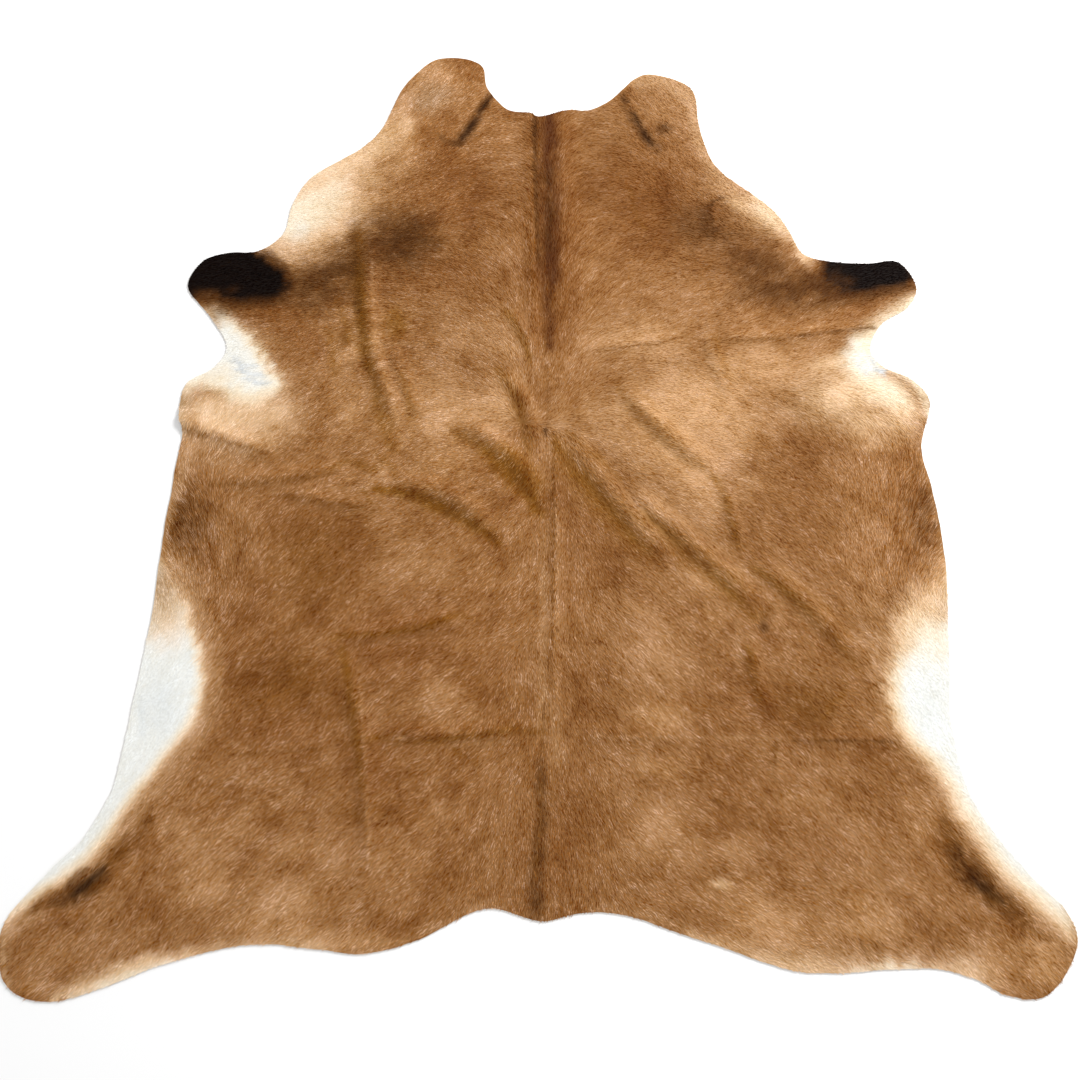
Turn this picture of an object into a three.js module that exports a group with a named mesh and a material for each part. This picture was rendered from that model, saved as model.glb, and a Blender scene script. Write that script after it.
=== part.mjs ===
// A natural cowhide rug lying on a floor, hair side up, in millimetres.
// +Z is up, +Y runs from the tail to the neck, and the floor is z = 0.
// The origin is under the middle of the hide's bounding box.
//
// The hide is one sheet of even thickness. Its outline is a smooth closed curve
// through hand-placed landmarks, and it lifts off the floor along its soft
// folds and over a few low swells, so that the rest of it lies flat.

import * as THREE from "three";

// ---------------------------------------------------------------- sizes (mm)

const SKIN_THICKNESS = 2.5; // tanned leather
const PILE_HEIGHT = 2.5; // short hair pressed flat on it
const SHEET = SKIN_THICKNESS + PILE_HEIGHT;

const EDGE_STEP = 22; // spacing of points along the cut edge
const FOLD_STEP = 42; // spacing of points along a fold
const FIELD_STEP = 68; // spacing of points on the open hide
const EDGE_CLEARANCE = 17; // nothing inside comes nearer the cut edge than this

// -------------------------------------------------------- outline landmarks
// Anticlockwise from the notch at the neck. Each table is one stretch of the
// cut edge, and each row a landmark on it.

const NECK_LEFT = [
  { at: "neck notch", x: -4, y: 898 },
  { at: "notch shoulder", x: -16, y: 907 },
  { at: "neck edge", x: -74, y: 918 },
  { at: "lobe root", x: -124, y: 980 },
  { at: "lobe inner side", x: -144, y: 1051 },
  { at: "lobe tip", x: -246, y: 1067 },
  { at: "lobe outer side", x: -324, y: 992 },
  { at: "cheek hollow", x: -377, y: 861 },
  { at: "cheek", x: -428, y: 804 },
  { at: "throat", x: -542, y: 720 },
  { at: "throat corner", x: -578, y: 651 },
  { at: "chest", x: -595, y: 570 },
];

const FORELEG_LEFT = [
  { at: "leg root", x: -650, y: 525 },
  { at: "leg top", x: -724, y: 521 },
  { at: "leg bend", x: -775, y: 499 },
  { at: "leg tip", x: -803, y: 436 },
  { at: "leg underside", x: -738, y: 349 },
  { at: "armpit", x: -700, y: 276 },
  { at: "armpit exit", x: -727, y: 227 },
];

const FLANK_LEFT = [
  { at: "elbow flap top", x: -782, y: 190 },
  { at: "elbow flap side", x: -788, y: 103 },
  { at: "nick", x: -780, y: 82 },
  { at: "rib edge", x: -786, y: -12 },
  { at: "flank edge", x: -796, y: -157 },
  { at: "belly edge", x: -802, y: -323 },
  { at: "belly low", x: -819, y: -506 },
  { at: "groin", x: -836, y: -655 },
  { at: "groin step", x: -839, y: -680 },
];

const HIND_LEG_LEFT = [
  { at: "thigh edge", x: -884, y: -776 },
  { at: "shank edge", x: -952, y: -850 },
  { at: "tip upper corner", x: -1022, y: -948 },
  { at: "tip outer corner", x: -1010, y: -1033 },
  { at: "tip lower corner", x: -969, y: -1068 },
  { at: "tip underside", x: -901, y: -1075 },
  { at: "shank underside", x: -803, y: -1047 },
  { at: "thigh underside", x: -720, y: -1014 },
];

const RUMP_LEFT = [
  { at: "leg root low", x: -585, y: -981 },
  { at: "rump swell", x: -506, y: -975 },
  { at: "rump dip", x: -452, y: -981 },
  { at: "rump low", x: -319, y: -991 },
  { at: "rump rise", x: -225, y: -966 },
  { at: "tail side", x: -98, y: -911 },
];

const RUMP_RIGHT = [
  { at: "tail root", x: 7, y: -934 },
  { at: "tail side", x: 74, y: -921 },
  { at: "rump rise", x: 147, y: -920 },
  { at: "rump slope", x: 302, y: -966 },
  { at: "rump low", x: 488, y: -1023 },
  { at: "rump dip", x: 563, y: -1026 },
];

const HIND_LEG_RIGHT = [
  { at: "leg root low", x: 749, y: -1019 },
  { at: "shank underside", x: 824, y: -1037 },
  { at: "tip underside", x: 875, y: -1065 },
  { at: "tip lower corner", x: 948, y: -1068 },
  { at: "tip outer corner", x: 1024, y: -975 },
  { at: "tip upper corner", x: 1011, y: -916 },
  { at: "shank edge", x: 953, y: -854 },
  { at: "thigh edge", x: 856, y: -707 },
];

const FLANK_RIGHT = [
  { at: "groin", x: 831, y: -550 },
  { at: "belly low", x: 838, y: -473 },
  { at: "belly edge", x: 846, y: -378 },
  { at: "flank low", x: 853, y: -297 },
  { at: "flank edge", x: 858, y: -179 },
  { at: "rib edge", x: 847, y: -53 },
  { at: "elbow hollow", x: 834, y: 35 },
  { at: "elbow flap side", x: 864, y: 151 },
];

const FORELEG_RIGHT = [
  { at: "elbow flap top", x: 830, y: 200 },
  { at: "armpit entry", x: 768, y: 232 },
  { at: "armpit", x: 745, y: 271 },
  { at: "leg underside", x: 778, y: 339 },
  { at: "leg underside tip", x: 839, y: 380 },
  { at: "leg tip", x: 865, y: 428 },
  { at: "leg corner", x: 830, y: 496 },
  { at: "leg top", x: 756, y: 494 },
  { at: "leg top root", x: 671, y: 499 },
];

const NECK_RIGHT = [
  { at: "chest", x: 612, y: 517 },
  { at: "throat corner", x: 582, y: 581 },
  { at: "throat", x: 551, y: 635 },
  { at: "cheek", x: 432, y: 742 },
  { at: "cheek hollow", x: 409, y: 779 },
  { at: "jaw", x: 387, y: 869 },
  { at: "lobe outer side", x: 370, y: 980 },
  { at: "lobe tip", x: 266, y: 1021 },
  { at: "lobe inner side", x: 234, y: 1006 },
  { at: "lobe root", x: 174, y: 945 },
  { at: "neck edge", x: 120, y: 916 },
  { at: "notch shoulder", x: 74, y: 918 },
];

const LANDMARKS = [
  ...NECK_LEFT,
  ...FORELEG_LEFT,
  ...FLANK_LEFT,
  ...HIND_LEG_LEFT,
  ...RUMP_LEFT,
  ...RUMP_RIGHT,
  ...HIND_LEG_RIGHT,
  ...FLANK_RIGHT,
  ...FORELEG_RIGHT,
  ...NECK_RIGHT,
];

// -------------------------------------------------------------------- folds
// Each row is one soft fold: a low rounded ridge along the curve through its
// three points. rise is its height at the middle of its length, width the
// distance from its crest to where the hide lies flat again. A fold fades out
// at both ends unless it is open, as where it runs off the cut edge.

const FOLDS = [
  { name: "left shoulder", x0: -398, y0: 600, x1: -372, y1: 290, x2: -278, y2: 30, rise: 9, width: 34 },
  { name: "left shoulder twin", x0: -345, y0: 330, x1: -300, y1: 205, x2: -255, y2: 85, rise: 5, width: 30 },
  { name: "left loin", x0: -398, y0: -400, x1: -352, y1: -590, x2: -318, y2: -880, rise: 7, width: 32 },
  { name: "left sweep", x0: -350, y0: -40, x1: -195, y1: -70, x2: -72, y2: -165, rise: 10, width: 36 },
  { name: "left inner sweep", x0: -190, y0: 105, x1: -82, y1: 40, x2: 22, y2: -78, rise: 9, width: 34 },
  { name: "withers upper", x0: -80, y0: 385, x1: -32, y1: 318, x2: -6, y2: 235, rise: 5, width: 26 },
  { name: "withers lower", x0: -98, y0: 235, x1: -28, y1: 145, x2: -8, y2: 20, rise: 7, width: 28 },
  { name: "right back, near spine", x0: 48, y0: 95, x1: 152, y1: -58, x2: 292, y2: -232, rise: 10, width: 36 },
  { name: "right back, long", x0: 160, y0: -30, x1: 335, y1: -188, x2: 492, y2: -352, rise: 9, width: 34 },
  { name: "right ribs", x0: 170, y0: 200, x1: 290, y1: 62, x2: 405, y2: -30, rise: 10, width: 36 },
  { name: "right ribs tail", x0: 398, y0: -40, x1: 412, y1: -110, x2: 428, y2: -205, rise: 5, width: 26 },
  { name: "right flank outer", x0: 430, y0: -190, x1: 565, y1: -320, x2: 680, y2: -455, rise: 8, width: 34 },
  { name: "right loin drop", x0: 428, y0: -370, x1: 446, y1: -450, x2: 462, y2: -560, rise: 6, width: 28 },
  { name: "left loin cross", x0: -450, y0: -392, x1: -265, y1: -358, x2: -110, y2: -342, rise: 7, width: 30 },
  { name: "left elbow", x0: -800, y0: 106, x1: -668, y1: 56, x2: -560, y2: 18, rise: 9, width: 34, open: true },
  { name: "left ribs upper", x0: -705, y0: -30, x1: -570, y1: -32, x2: -430, y2: 2, rise: 7, width: 30 },
  { name: "left ribs lower", x0: -565, y0: -58, x1: -450, y1: -84, x2: -350, y2: -96, rise: 5, width: 26 },
  { name: "lower packing fold, left", x0: -370, y0: -572, x1: -200, y1: -580, x2: 5, y2: -568, rise: 6, width: 28 },
  { name: "lower packing fold, middle", x0: 60, y0: -576, x1: 190, y1: -582, x2: 320, y2: -584, rise: 3.5, width: 24 },
  { name: "lower packing fold, right", x0: 500, y0: -586, x1: 630, y1: -590, x2: 760, y2: -588, rise: 4, width: 24 },
  { name: "upper packing fold, left", x0: -420, y0: 296, x1: -300, y1: 292, x2: -190, y2: 290, rise: 3.5, width: 24 },
  { name: "upper packing fold, middle", x0: 90, y0: 268, x1: 225, y1: 286, x2: 345, y2: 306, rise: 3.5, width: 24 },
  { name: "upper packing fold, right", x0: 360, y0: 306, x1: 580, y1: 308, x2: 730, y2: 326, rise: 5, width: 28 },
  { name: "right shoulder", x0: 398, y0: 665, x1: 404, y1: 605, x2: 412, y2: 545, rise: 4.5, width: 26 },
  { name: "right shoulder low", x0: 382, y0: 325, x1: 402, y1: 235, x2: 425, y2: 150, rise: 6, width: 28 },
  { name: "spine, left lip", x0: -22, y0: 880, x1: -14, y1: 520, x2: -10, y2: 180, rise: 4, width: 24 },
  { name: "spine, right lip", x0: 42, y0: 120, x1: 36, y1: -230, x2: 30, y2: -640, rise: 4, width: 24 },
];

// Low swells where the hide doesn't quite lie down: an oval of half sizes
// rx and ry, turned by turn degrees, rise high at its middle.
const SWELLS = [
  { name: "between right folds", x: 290, y: -40, rx: 190, ry: 90, turn: -45, rise: 5 },
  { name: "right flank", x: 600, y: -260, rx: 200, ry: 90, turn: -45, rise: 4 },
  { name: "left withers", x: -190, y: -20, rx: 170, ry: 90, turn: -35, rise: 5 },
  { name: "left shoulder", x: -330, y: 190, rx: 90, ry: 170, turn: -15, rise: 4 },
  { name: "left ribs", x: -470, y: -60, rx: 170, ry: 80, turn: 5, rise: 4 },
  { name: "left loin", x: -300, y: -480, rx: 150, ry: 110, turn: 0, rise: 3.5 },
  { name: "right elbow", x: 660, y: 150, rx: 150, ry: 90, turn: 10, rise: 4 },
  { name: "neck", x: 180, y: 720, rx: 150, ry: 110, turn: 20, rise: 3.5 },
];

// -------------------------------------------------------------- the outline

function throughLandmarks(marks, step) {
  // Centripetal curve through the landmarks, resampled about every step mm.
  const curve = new THREE.CatmullRomCurve3(
    marks.map((m) => new THREE.Vector3(m.x, m.y, 0)),
    true,
    "centripetal",
  );
  curve.arcLengthDivisions = 40 * marks.length;
  const count = Math.round(curve.getLength() / step);
  return curve.getSpacedPoints(count).slice(0, count).map((p) => ({ x: p.x, y: p.y }));
}

function inside(p, ring) {
  let hit = false;
  for (let i = 0, j = ring.length - 1; i < ring.length; j = i++) {
    const a = ring[i];
    const b = ring[j];
    if (a.y > p.y !== b.y > p.y && p.x < ((b.x - a.x) * (p.y - a.y)) / (b.y - a.y) + a.x) hit = !hit;
  }
  return hit;
}

function toSegment(p, a, b) {
  const dx = b.x - a.x;
  const dy = b.y - a.y;
  const t = Math.min(1, Math.max(0, ((p.x - a.x) * dx + (p.y - a.y) * dy) / (dx * dx + dy * dy || 1)));
  return { t, d: Math.hypot(p.x - a.x - t * dx, p.y - a.y - t * dy) };
}

function toEdge(p, ring) {
  let near = Infinity;
  for (let i = 0; i < ring.length; i++) near = Math.min(near, toSegment(p, ring[i], ring[(i + 1) % ring.length]).d);
  return near;
}

// --------------------------------------------------------------- the height

function foldLine(fold, pieces = 24) {
  const curve = new THREE.CatmullRomCurve3([
    new THREE.Vector3(fold.x0, fold.y0, 0),
    new THREE.Vector3(fold.x1, fold.y1, 0),
    new THREE.Vector3(fold.x2, fold.y2, 0),
  ]);
  return curve.getSpacedPoints(pieces).map((p) => ({ x: p.x, y: p.y }));
}

for (const fold of FOLDS) fold.line = foldLine(fold);

const bump = (t) => (t >= 1 ? 0 : (1 + Math.cos(Math.PI * t)) / 2);

function foldHeight(p, fold) {
  let near = { d: Infinity, s: 0 };
  const n = fold.line.length - 1;
  for (let i = 0; i < n; i++) {
    const hit = toSegment(p, fold.line[i], fold.line[i + 1]);
    if (hit.d < near.d) near = { d: hit.d, s: (i + hit.t) / n };
  }
  const fade = Math.min(1, (fold.open ? 1 - near.s : Math.min(near.s, 1 - near.s)) / 0.3);
  return fold.rise * bump(near.d / fold.width) * bump(1 - fade);
}

function swellHeight(p, swell) {
  const c = Math.cos(THREE.MathUtils.degToRad(swell.turn));
  const s = Math.sin(THREE.MathUtils.degToRad(swell.turn));
  const dx = p.x - swell.x;
  const dy = p.y - swell.y;
  return swell.rise * bump(Math.hypot((dx * c + dy * s) / swell.rx, (dy * c - dx * s) / swell.ry));
}

function lift(p) {
  let h = 0;
  for (const fold of FOLDS) h = Math.max(h, foldHeight(p, fold));
  for (const swell of SWELLS) h += swellHeight(p, swell);
  return h < 0.05 ? 0 : h;
}

// ------------------------------------------------------------ the net of points

const edge = throughLandmarks(LANDMARKS, EDGE_STEP);
const points = [...edge];

function addPoint(p, apart) {
  if (!inside(p, edge) || toEdge(p, edge) < EDGE_CLEARANCE) return;
  for (const q of points) if (Math.hypot(p.x - q.x, p.y - q.y) < apart) return;
  points.push(p);
}

// Rows along each fold: on its crest, halfway down and at its foot.
for (const fold of FOLDS) {
  const length = fold.line.reduce((sum, p, i, all) => (i ? sum + Math.hypot(p.x - all[i - 1].x, p.y - all[i - 1].y) : 0), 0);
  const rows = foldLine(fold, Math.max(2, Math.round(length / FOLD_STEP)));
  for (const off of [0, -0.52, 0.52, -1, 1]) {
    rows.forEach((p, i) => {
      const a = rows[Math.max(0, i - 1)];
      const b = rows[Math.min(rows.length - 1, i + 1)];
      const len = Math.hypot(b.x - a.x, b.y - a.y);
      addPoint({ x: p.x - (off * fold.width * (b.y - a.y)) / len, y: p.y + (off * fold.width * (b.x - a.x)) / len }, 13);
    });
  }
}

// Open hide between them, on a net of even triangles.
const rowStep = (FIELD_STEP * Math.sqrt(3)) / 2;
for (let row = -17; row <= 17; row++) {
  for (let col = -16; col <= 16; col++) {
    addPoint({ x: (col + (row % 2 ? 0.5 : 0)) * FIELD_STEP, y: row * rowStep }, FIELD_STEP * 0.62);
  }
}

// ------------------------------------------------------------- triangulation

function delaunay(pts) {
  // Adds one point at a time, opening the circles that hold it.
  const n = pts.length;
  const far = 1e5;
  const all = [...pts, { x: -far, y: -far }, { x: far, y: -far }, { x: 0, y: far }];
  const circle = (a, b, c) => {
    const A = all[a];
    const B = all[b];
    const C = all[c];
    const bx = B.x - A.x;
    const by = B.y - A.y;
    const cx = C.x - A.x;
    const cy = C.y - A.y;
    const d = 2 * (bx * cy - by * cx);
    const ux = (cy * (bx * bx + by * by) - by * (cx * cx + cy * cy)) / d;
    const uy = (bx * (cx * cx + cy * cy) - cx * (bx * bx + by * by)) / d;
    return { a, b, c, x: A.x + ux, y: A.y + uy, r2: ux * ux + uy * uy };
  };
  let tris = [circle(n, n + 1, n + 2)];
  for (let i = 0; i < n; i++) {
    const p = all[i];
    const rim = new Map();
    tris = tris.filter((t) => {
      if ((p.x - t.x) ** 2 + (p.y - t.y) ** 2 >= t.r2) return true;
      for (const [u, v] of [[t.a, t.b], [t.b, t.c], [t.c, t.a]]) {
        const twin = `${v},${u}`;
        if (rim.has(twin)) rim.delete(twin);
        else rim.set(`${u},${v}`, [u, v]);
      }
      return false;
    });
    for (const [u, v] of rim.values()) tris.push(circle(u, v, i));
  }
  return tris.filter((t) => Math.max(t.a, t.b, t.c) < n).map((t) => [t.a, t.b, t.c]);
}

// A hair's breadth of scatter keeps four points off one circle.
const scatter = (i, k) => 0.02 * (((i * k) % 97) / 97 - 0.5);
const spread = points.map((p, i) => ({ x: p.x + scatter(i, 31), y: p.y + scatter(i, 57) }));

const faces = delaunay(spread).filter(([a, b, c]) => {
  const mid = { x: (points[a].x + points[b].x + points[c].x) / 3, y: (points[a].y + points[b].y + points[c].y) / 3 };
  return inside(mid, edge);
});

// ----------------------------------------------------------------- the sheet

const low = { x: Math.min(...edge.map((p) => p.x)), y: Math.min(...edge.map((p) => p.y)) };
const high = { x: Math.max(...edge.map((p) => p.x)), y: Math.max(...edge.map((p) => p.y)) };
const middle = { x: (low.x + high.x) / 2, y: (low.y + high.y) / 2 };

function hideGeometry() {
  const position = [];
  const lifts = points.map(lift);
  for (const top of [0, SHEET]) {
    points.forEach((p, i) => position.push(p.x - middle.x, p.y - middle.y, lifts[i] + top));
  }
  const n = points.length;
  const index = [];
  for (const [a, b, c] of faces) {
    const turn = (points[b].x - points[a].x) * (points[c].y - points[a].y) - (points[b].y - points[a].y) * (points[c].x - points[a].x);
    const [u, v, w] = turn > 0 ? [a, b, c] : [a, c, b];
    index.push(u + n, v + n, w + n, u, w, v);
  }
  const m = edge.length;
  for (let i = 0; i < m; i++) {
    const j = (i + 1) % m;
    index.push(i, j, j + n, i, j + n, i + n);
  }
  const geometry = new THREE.BufferGeometry();
  geometry.setAttribute("position", new THREE.Float32BufferAttribute(position, 3));
  geometry.setIndex(index);
  geometry.computeVertexNormals();
  return geometry;
}

const hide = new THREE.Mesh(
  hideGeometry(),
  new THREE.MeshStandardMaterial({ name: "hide", color: 0xa06e41, roughness: 0.85, metalness: 0 }),
);
hide.name = "hide";

const rug = new THREE.Group();
rug.name = "cowhide rug";
rug.add(hide);

export default rug;
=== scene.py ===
# A natural cowhide rug lying on a floor, hair side up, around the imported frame.
# Metres inside Blender. The tables are in millimetres in the part's own frame:
# +X to the right, +Y from the tail to the neck, +Z up.
#
# The rug is the leather sheet and, on it, short hair: flat closed locks joined
# into a few meshes. Each lock takes its colour from the coat's own tables of
# patches and strokes, and its direction from the table of how the hair lies.

import math

import bpy
import numpy as np
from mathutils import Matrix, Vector, kdtree
from mathutils.geometry import delaunay_2d_cdt


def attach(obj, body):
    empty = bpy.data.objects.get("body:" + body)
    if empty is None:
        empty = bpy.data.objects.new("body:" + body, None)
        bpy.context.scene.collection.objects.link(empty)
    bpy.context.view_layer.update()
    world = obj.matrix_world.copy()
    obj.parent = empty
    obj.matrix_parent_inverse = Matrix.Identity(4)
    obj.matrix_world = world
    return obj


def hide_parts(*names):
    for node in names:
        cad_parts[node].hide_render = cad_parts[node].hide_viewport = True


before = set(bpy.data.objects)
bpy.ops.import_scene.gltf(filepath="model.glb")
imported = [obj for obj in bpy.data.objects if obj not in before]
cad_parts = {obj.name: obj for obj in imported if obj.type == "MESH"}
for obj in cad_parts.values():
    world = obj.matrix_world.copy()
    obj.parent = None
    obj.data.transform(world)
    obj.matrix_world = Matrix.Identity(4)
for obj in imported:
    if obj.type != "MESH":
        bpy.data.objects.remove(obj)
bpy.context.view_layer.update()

# ---------------------------------------------------------------- sizes (mm)

SKIN = 2.5  # thickness of the tanned leather
EDGE_STEP = 6.0  # spacing of points along the cut edge
NET_STEP = 12.0  # spacing of points on the sheet
LOCK_STEP = 3.66  # spacing of the roots of the hair
LOCK_LENGTH = (7.5, 12.0)
LOCK_WIDTH = (1.3, 2.1)
LOCK_RISE = (1.0, 2.0)  # how far a tip stands off the leather

# ----------------------------------------------------------------- the tones
# The coat's few tones, as sRGB. Light and tan also serve as painted sheen and painted highlights on the crests of
# folds, and gold, amber and deep as painted shade along the folds.

TONES = {
    "caramel": (158, 111, 65),
    "light": (208, 164, 118),
    "tan": (190, 148, 105),
    "grizzle": (172, 146, 118),
    "brown": (134, 85, 40),
    "deep": (118, 72, 24),
    "gold": (147, 98, 42),
    "amber": (126, 77, 17),
    "umber": (84, 49, 17),
    "plum": (88, 48, 20),
    "black": (14, 5, 2),
    "peach": (223, 190, 153),
    "cream": (229, 213, 188),
    "white": (222, 222, 217),
    "skin": (211, 214, 213),
    "ash": (188, 192, 194),
}

# ------------------------------------------------------------- the markings
# A patch is an oval: columns name, tone, x, y, half sizes rx and ry, turn in
# degrees, strength 0..1, and soft, the part of the radius over which it fades.
# A stroke is a brushed line through three points: columns name, tone, x0, y0,
# x1, y1, x2, y2, half widths w0, w1, w2, strength, and soft.

# Broad places where the coat of the neck is paler: columns name, tone, x, y,
# rx, ry, turn, strength, soft.
PALER_NECK = [
    ("left lobe grizzle", "grizzle", -264, 954, 78, 76, 40, 0.45, 0.9),
    ("left lobe light", "light", -228, 1018, 79, 53, 0, 0.30, 0.9),
    ("right lobe light", "light", 304, 924, 83, 87, -20, 0.22, 0.9),
    ("right neck pale 1", "light", 380, 666, 47, 33, -20, 0.50, 1.0),
    ("left neck pale", "light", -324, 826, 82, 119, 30, 0.55, 1.0),
    ("left lobe pale", "light", -210, 924, 112, 128, 0, 0.10, 1.0),
    ("left cheek edge", "light", -336, 804, 62, 96, 40, 0.45, 0.9),
]

# Broad places where the coat of the shoulders is paler, and painted sheen where the nap
# catches the light: columns name, tone, x, y, rx, ry, turn, strength, soft.
PALER_AND_SHEEN_SHOULDERS = [
    ("right shoulder sheen", "light", 356, 132, 283, 192, -22, 0.95, 1.0),
    ("right shoulder upper", "light", 230, 308, 217, 90, 4, 0.62, 1.0),
    ("right shoulder mid light", "light", 500, 230, 215, 108, 4, 0.75, 1.0),
    ("left withers inner light", "light", -86, 160, 75, 121, -20, 0.50, 0.9),
    ("left upper withers", "light", -132, 312, 135, 100, 0, 0.30, 0.9),
    ("right spine light", "light", 48, 104, 35, 119, 0, 0.30, 0.9),
    ("left withers low sheen", "light", -84, 104, 66, 72, 0, 0.30, 1.0),
    ("left shoulder mid sheen", "light", -392, 268, 117, 75, 0, 0.40, 1.0),
    ("left shoulder low sheen", "light", -388, 104, 97, 100, 0, 0.35, 1.0),
    ("left withers high sheen", "light", -68, 274, 58, 50, 0, 0.45, 1.0),
    ("right withers low sheen", "light", 114, 90, 92, 52, -20, 0.40, 1.0),
    ("left shoulder inner sheen", "light", -150, 116, 137, 62, 10, 0.40, 1.0),
    ("left withers sheen", "light", -224, 122, 137, 158, 0, 0.55, 0.9),
    ("left shoulder sheen", "light", -418, 170, 84, 112, 10, 0.34, 0.9),
    ("right elbow under light", "light", 748, 74, 123, 43, 0, 0.55, 1.0),
    ("right shoulder pale a", "light", 206, 112, 159, 62, -24, 0.55, 1.0),
    ("right shoulder pale 1", "light", 286, 108, 114, 57, -30, 0.50, 1.0),
    ("left shoulder pale 1", "light", -396, 268, 72, 40, 0, 0.40, 1.0),
    ("left shoulder pale 2", "light", -414, 104, 44, 72, 0, 0.30, 1.0),
    ("right shoulder pale 2", "light", 106, 128, 66, 48, 0, 0.35, 1.0),
    ("left elbow pale", "light", -618, 112, 123, 100, 0, 0.70, 1.0),
]

# Broad places where the coat of the ribs is paler, and painted sheen where the nap
# catches the light: columns name, tone, x, y, rx, ry, turn, strength, soft.
PALER_AND_SHEEN_RIBS = [
    ("right ribs light band", "light", 274, 28, 187, 108, -42, 0.75, 1.0),
    ("left shoulder light spot", "light", -214, -4, 100, 74, 0, 0.55, 1.0),
    ("left rib sheen inner", "light", -142, -282, 105, 86, 0, 0.28, 0.9),
    ("right back sheen", "light", 278, -94, 129, 77, -40, 0.42, 0.9),
    ("right crease sheen", "light", 236, -96, 64, 54, 0, 0.35, 1.0),
    ("right rib sheen low", "light", 376, -14, 82, 97, 0, 0.35, 1.0),
    ("right back low sheen", "light", 196, -304, 58, 51, 0, 0.40, 1.0),
    ("right rib high sheen", "light", 450, 56, 79, 61, 0, 0.30, 1.0),
    ("right back crest sheen", "light", 178, 56, 92, 57, -30, 0.45, 1.0),
    ("right rib spot sheen", "light", 460, -56, 56, 46, 0, 0.40, 1.0),
    ("right back sheen upper", "light", 356, -78, 77, 59, -30, 0.50, 1.0),
    ("left rib sheen", "light", -256, -244, 130, 100, 0, 0.26, 0.9),
    ("right flank sheen", "light", 678, -190, 89, 141, 0, 0.20, 0.9),
    ("left elbow under light", "light", -704, 56, 144, 42, -8, 0.60, 1.0),
    ("right rib streak sheen", "light", 224, -10, 39, 25, -30, 0.45, 1.0),
    ("right rib sheen over crease", "light", 374, -146, 55, 25, -30, 0.32, 1.0),
    ("right back sheen below crease", "light", 350, -326, 25, 19, 0, 0.40, 1.0),
    ("right flank sheen inner", "light", 640, -320, 33, 23, -30, 0.42, 1.0),
    ("right back pale", "light", 394, -244, 273, 139, -34, 0.25, 1.0),
    ("right ribs pale high", "light", 564, -46, 86, 92, 0, 0.45, 1.0),
    ("left ribs pale 1", "light", -622, -304, 63, 43, 0, 0.35, 1.0),
    ("right ribs pale 1", "light", 394, -102, 56, 50, 0, 0.40, 1.0),
    ("left ribs pale 2", "light", -222, -14, 74, 42, 0, 0.40, 1.0),
    ("right shoulder pale b", "light", 328, -14, 108, 56, -34, 0.55, 1.0),
    ("right ribs pale", "light", 354, -230, 84, 101, -40, 0.45, 1.0),
]

# Broad places where the coat of the loin is paler, and painted sheen where the nap
# catches the light: columns name, tone, x, y, rx, ry, turn, strength, soft.
PALER_AND_SHEEN_LOIN = [
    ("left rib fold sheen", "light", -190, -380, 66, 46, 0, 0.40, 1.0),
    ("right loin fold sheen", "light", 266, -640, 84, 51, 0, 0.35, 1.0),
    ("left loin sheen", "light", -188, -492, 155, 114, 0, 0.30, 1.0),
    ("right loin sheen", "light", 250, -410, 115, 208, 0, 0.42, 1.0),
    ("right loin sheen low", "light", 220, -568, 81, 68, 0, 0.30, 0.9),
    ("left flank sheen low", "light", -646, -454, 35, 27, 0, 0.50, 1.0),
    ("left flank sheen inner", "light", -552, -454, 53, 27, 0, 0.42, 1.0),
    ("right groin sheen", "light", 698, -544, 26, 52, -12, 0.60, 1.0),
    ("right loin pale 1", "light", 366, -334, 46, 43, 0, 0.50, 1.0),
    ("middle loin pale 1", "light", 16, -512, 37, 69, 0, 0.35, 1.0),
    ("right loin pale a", "light", 246, -536, 109, 44, 6, 0.60, 1.0),
    ("right loin pale b", "light", 222, -640, 72, 35, 0, 0.55, 1.0),
    ("left rump pale spot", "light", -274, -588, 10, 6, 30, 0.90, 0.6),
]
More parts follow.
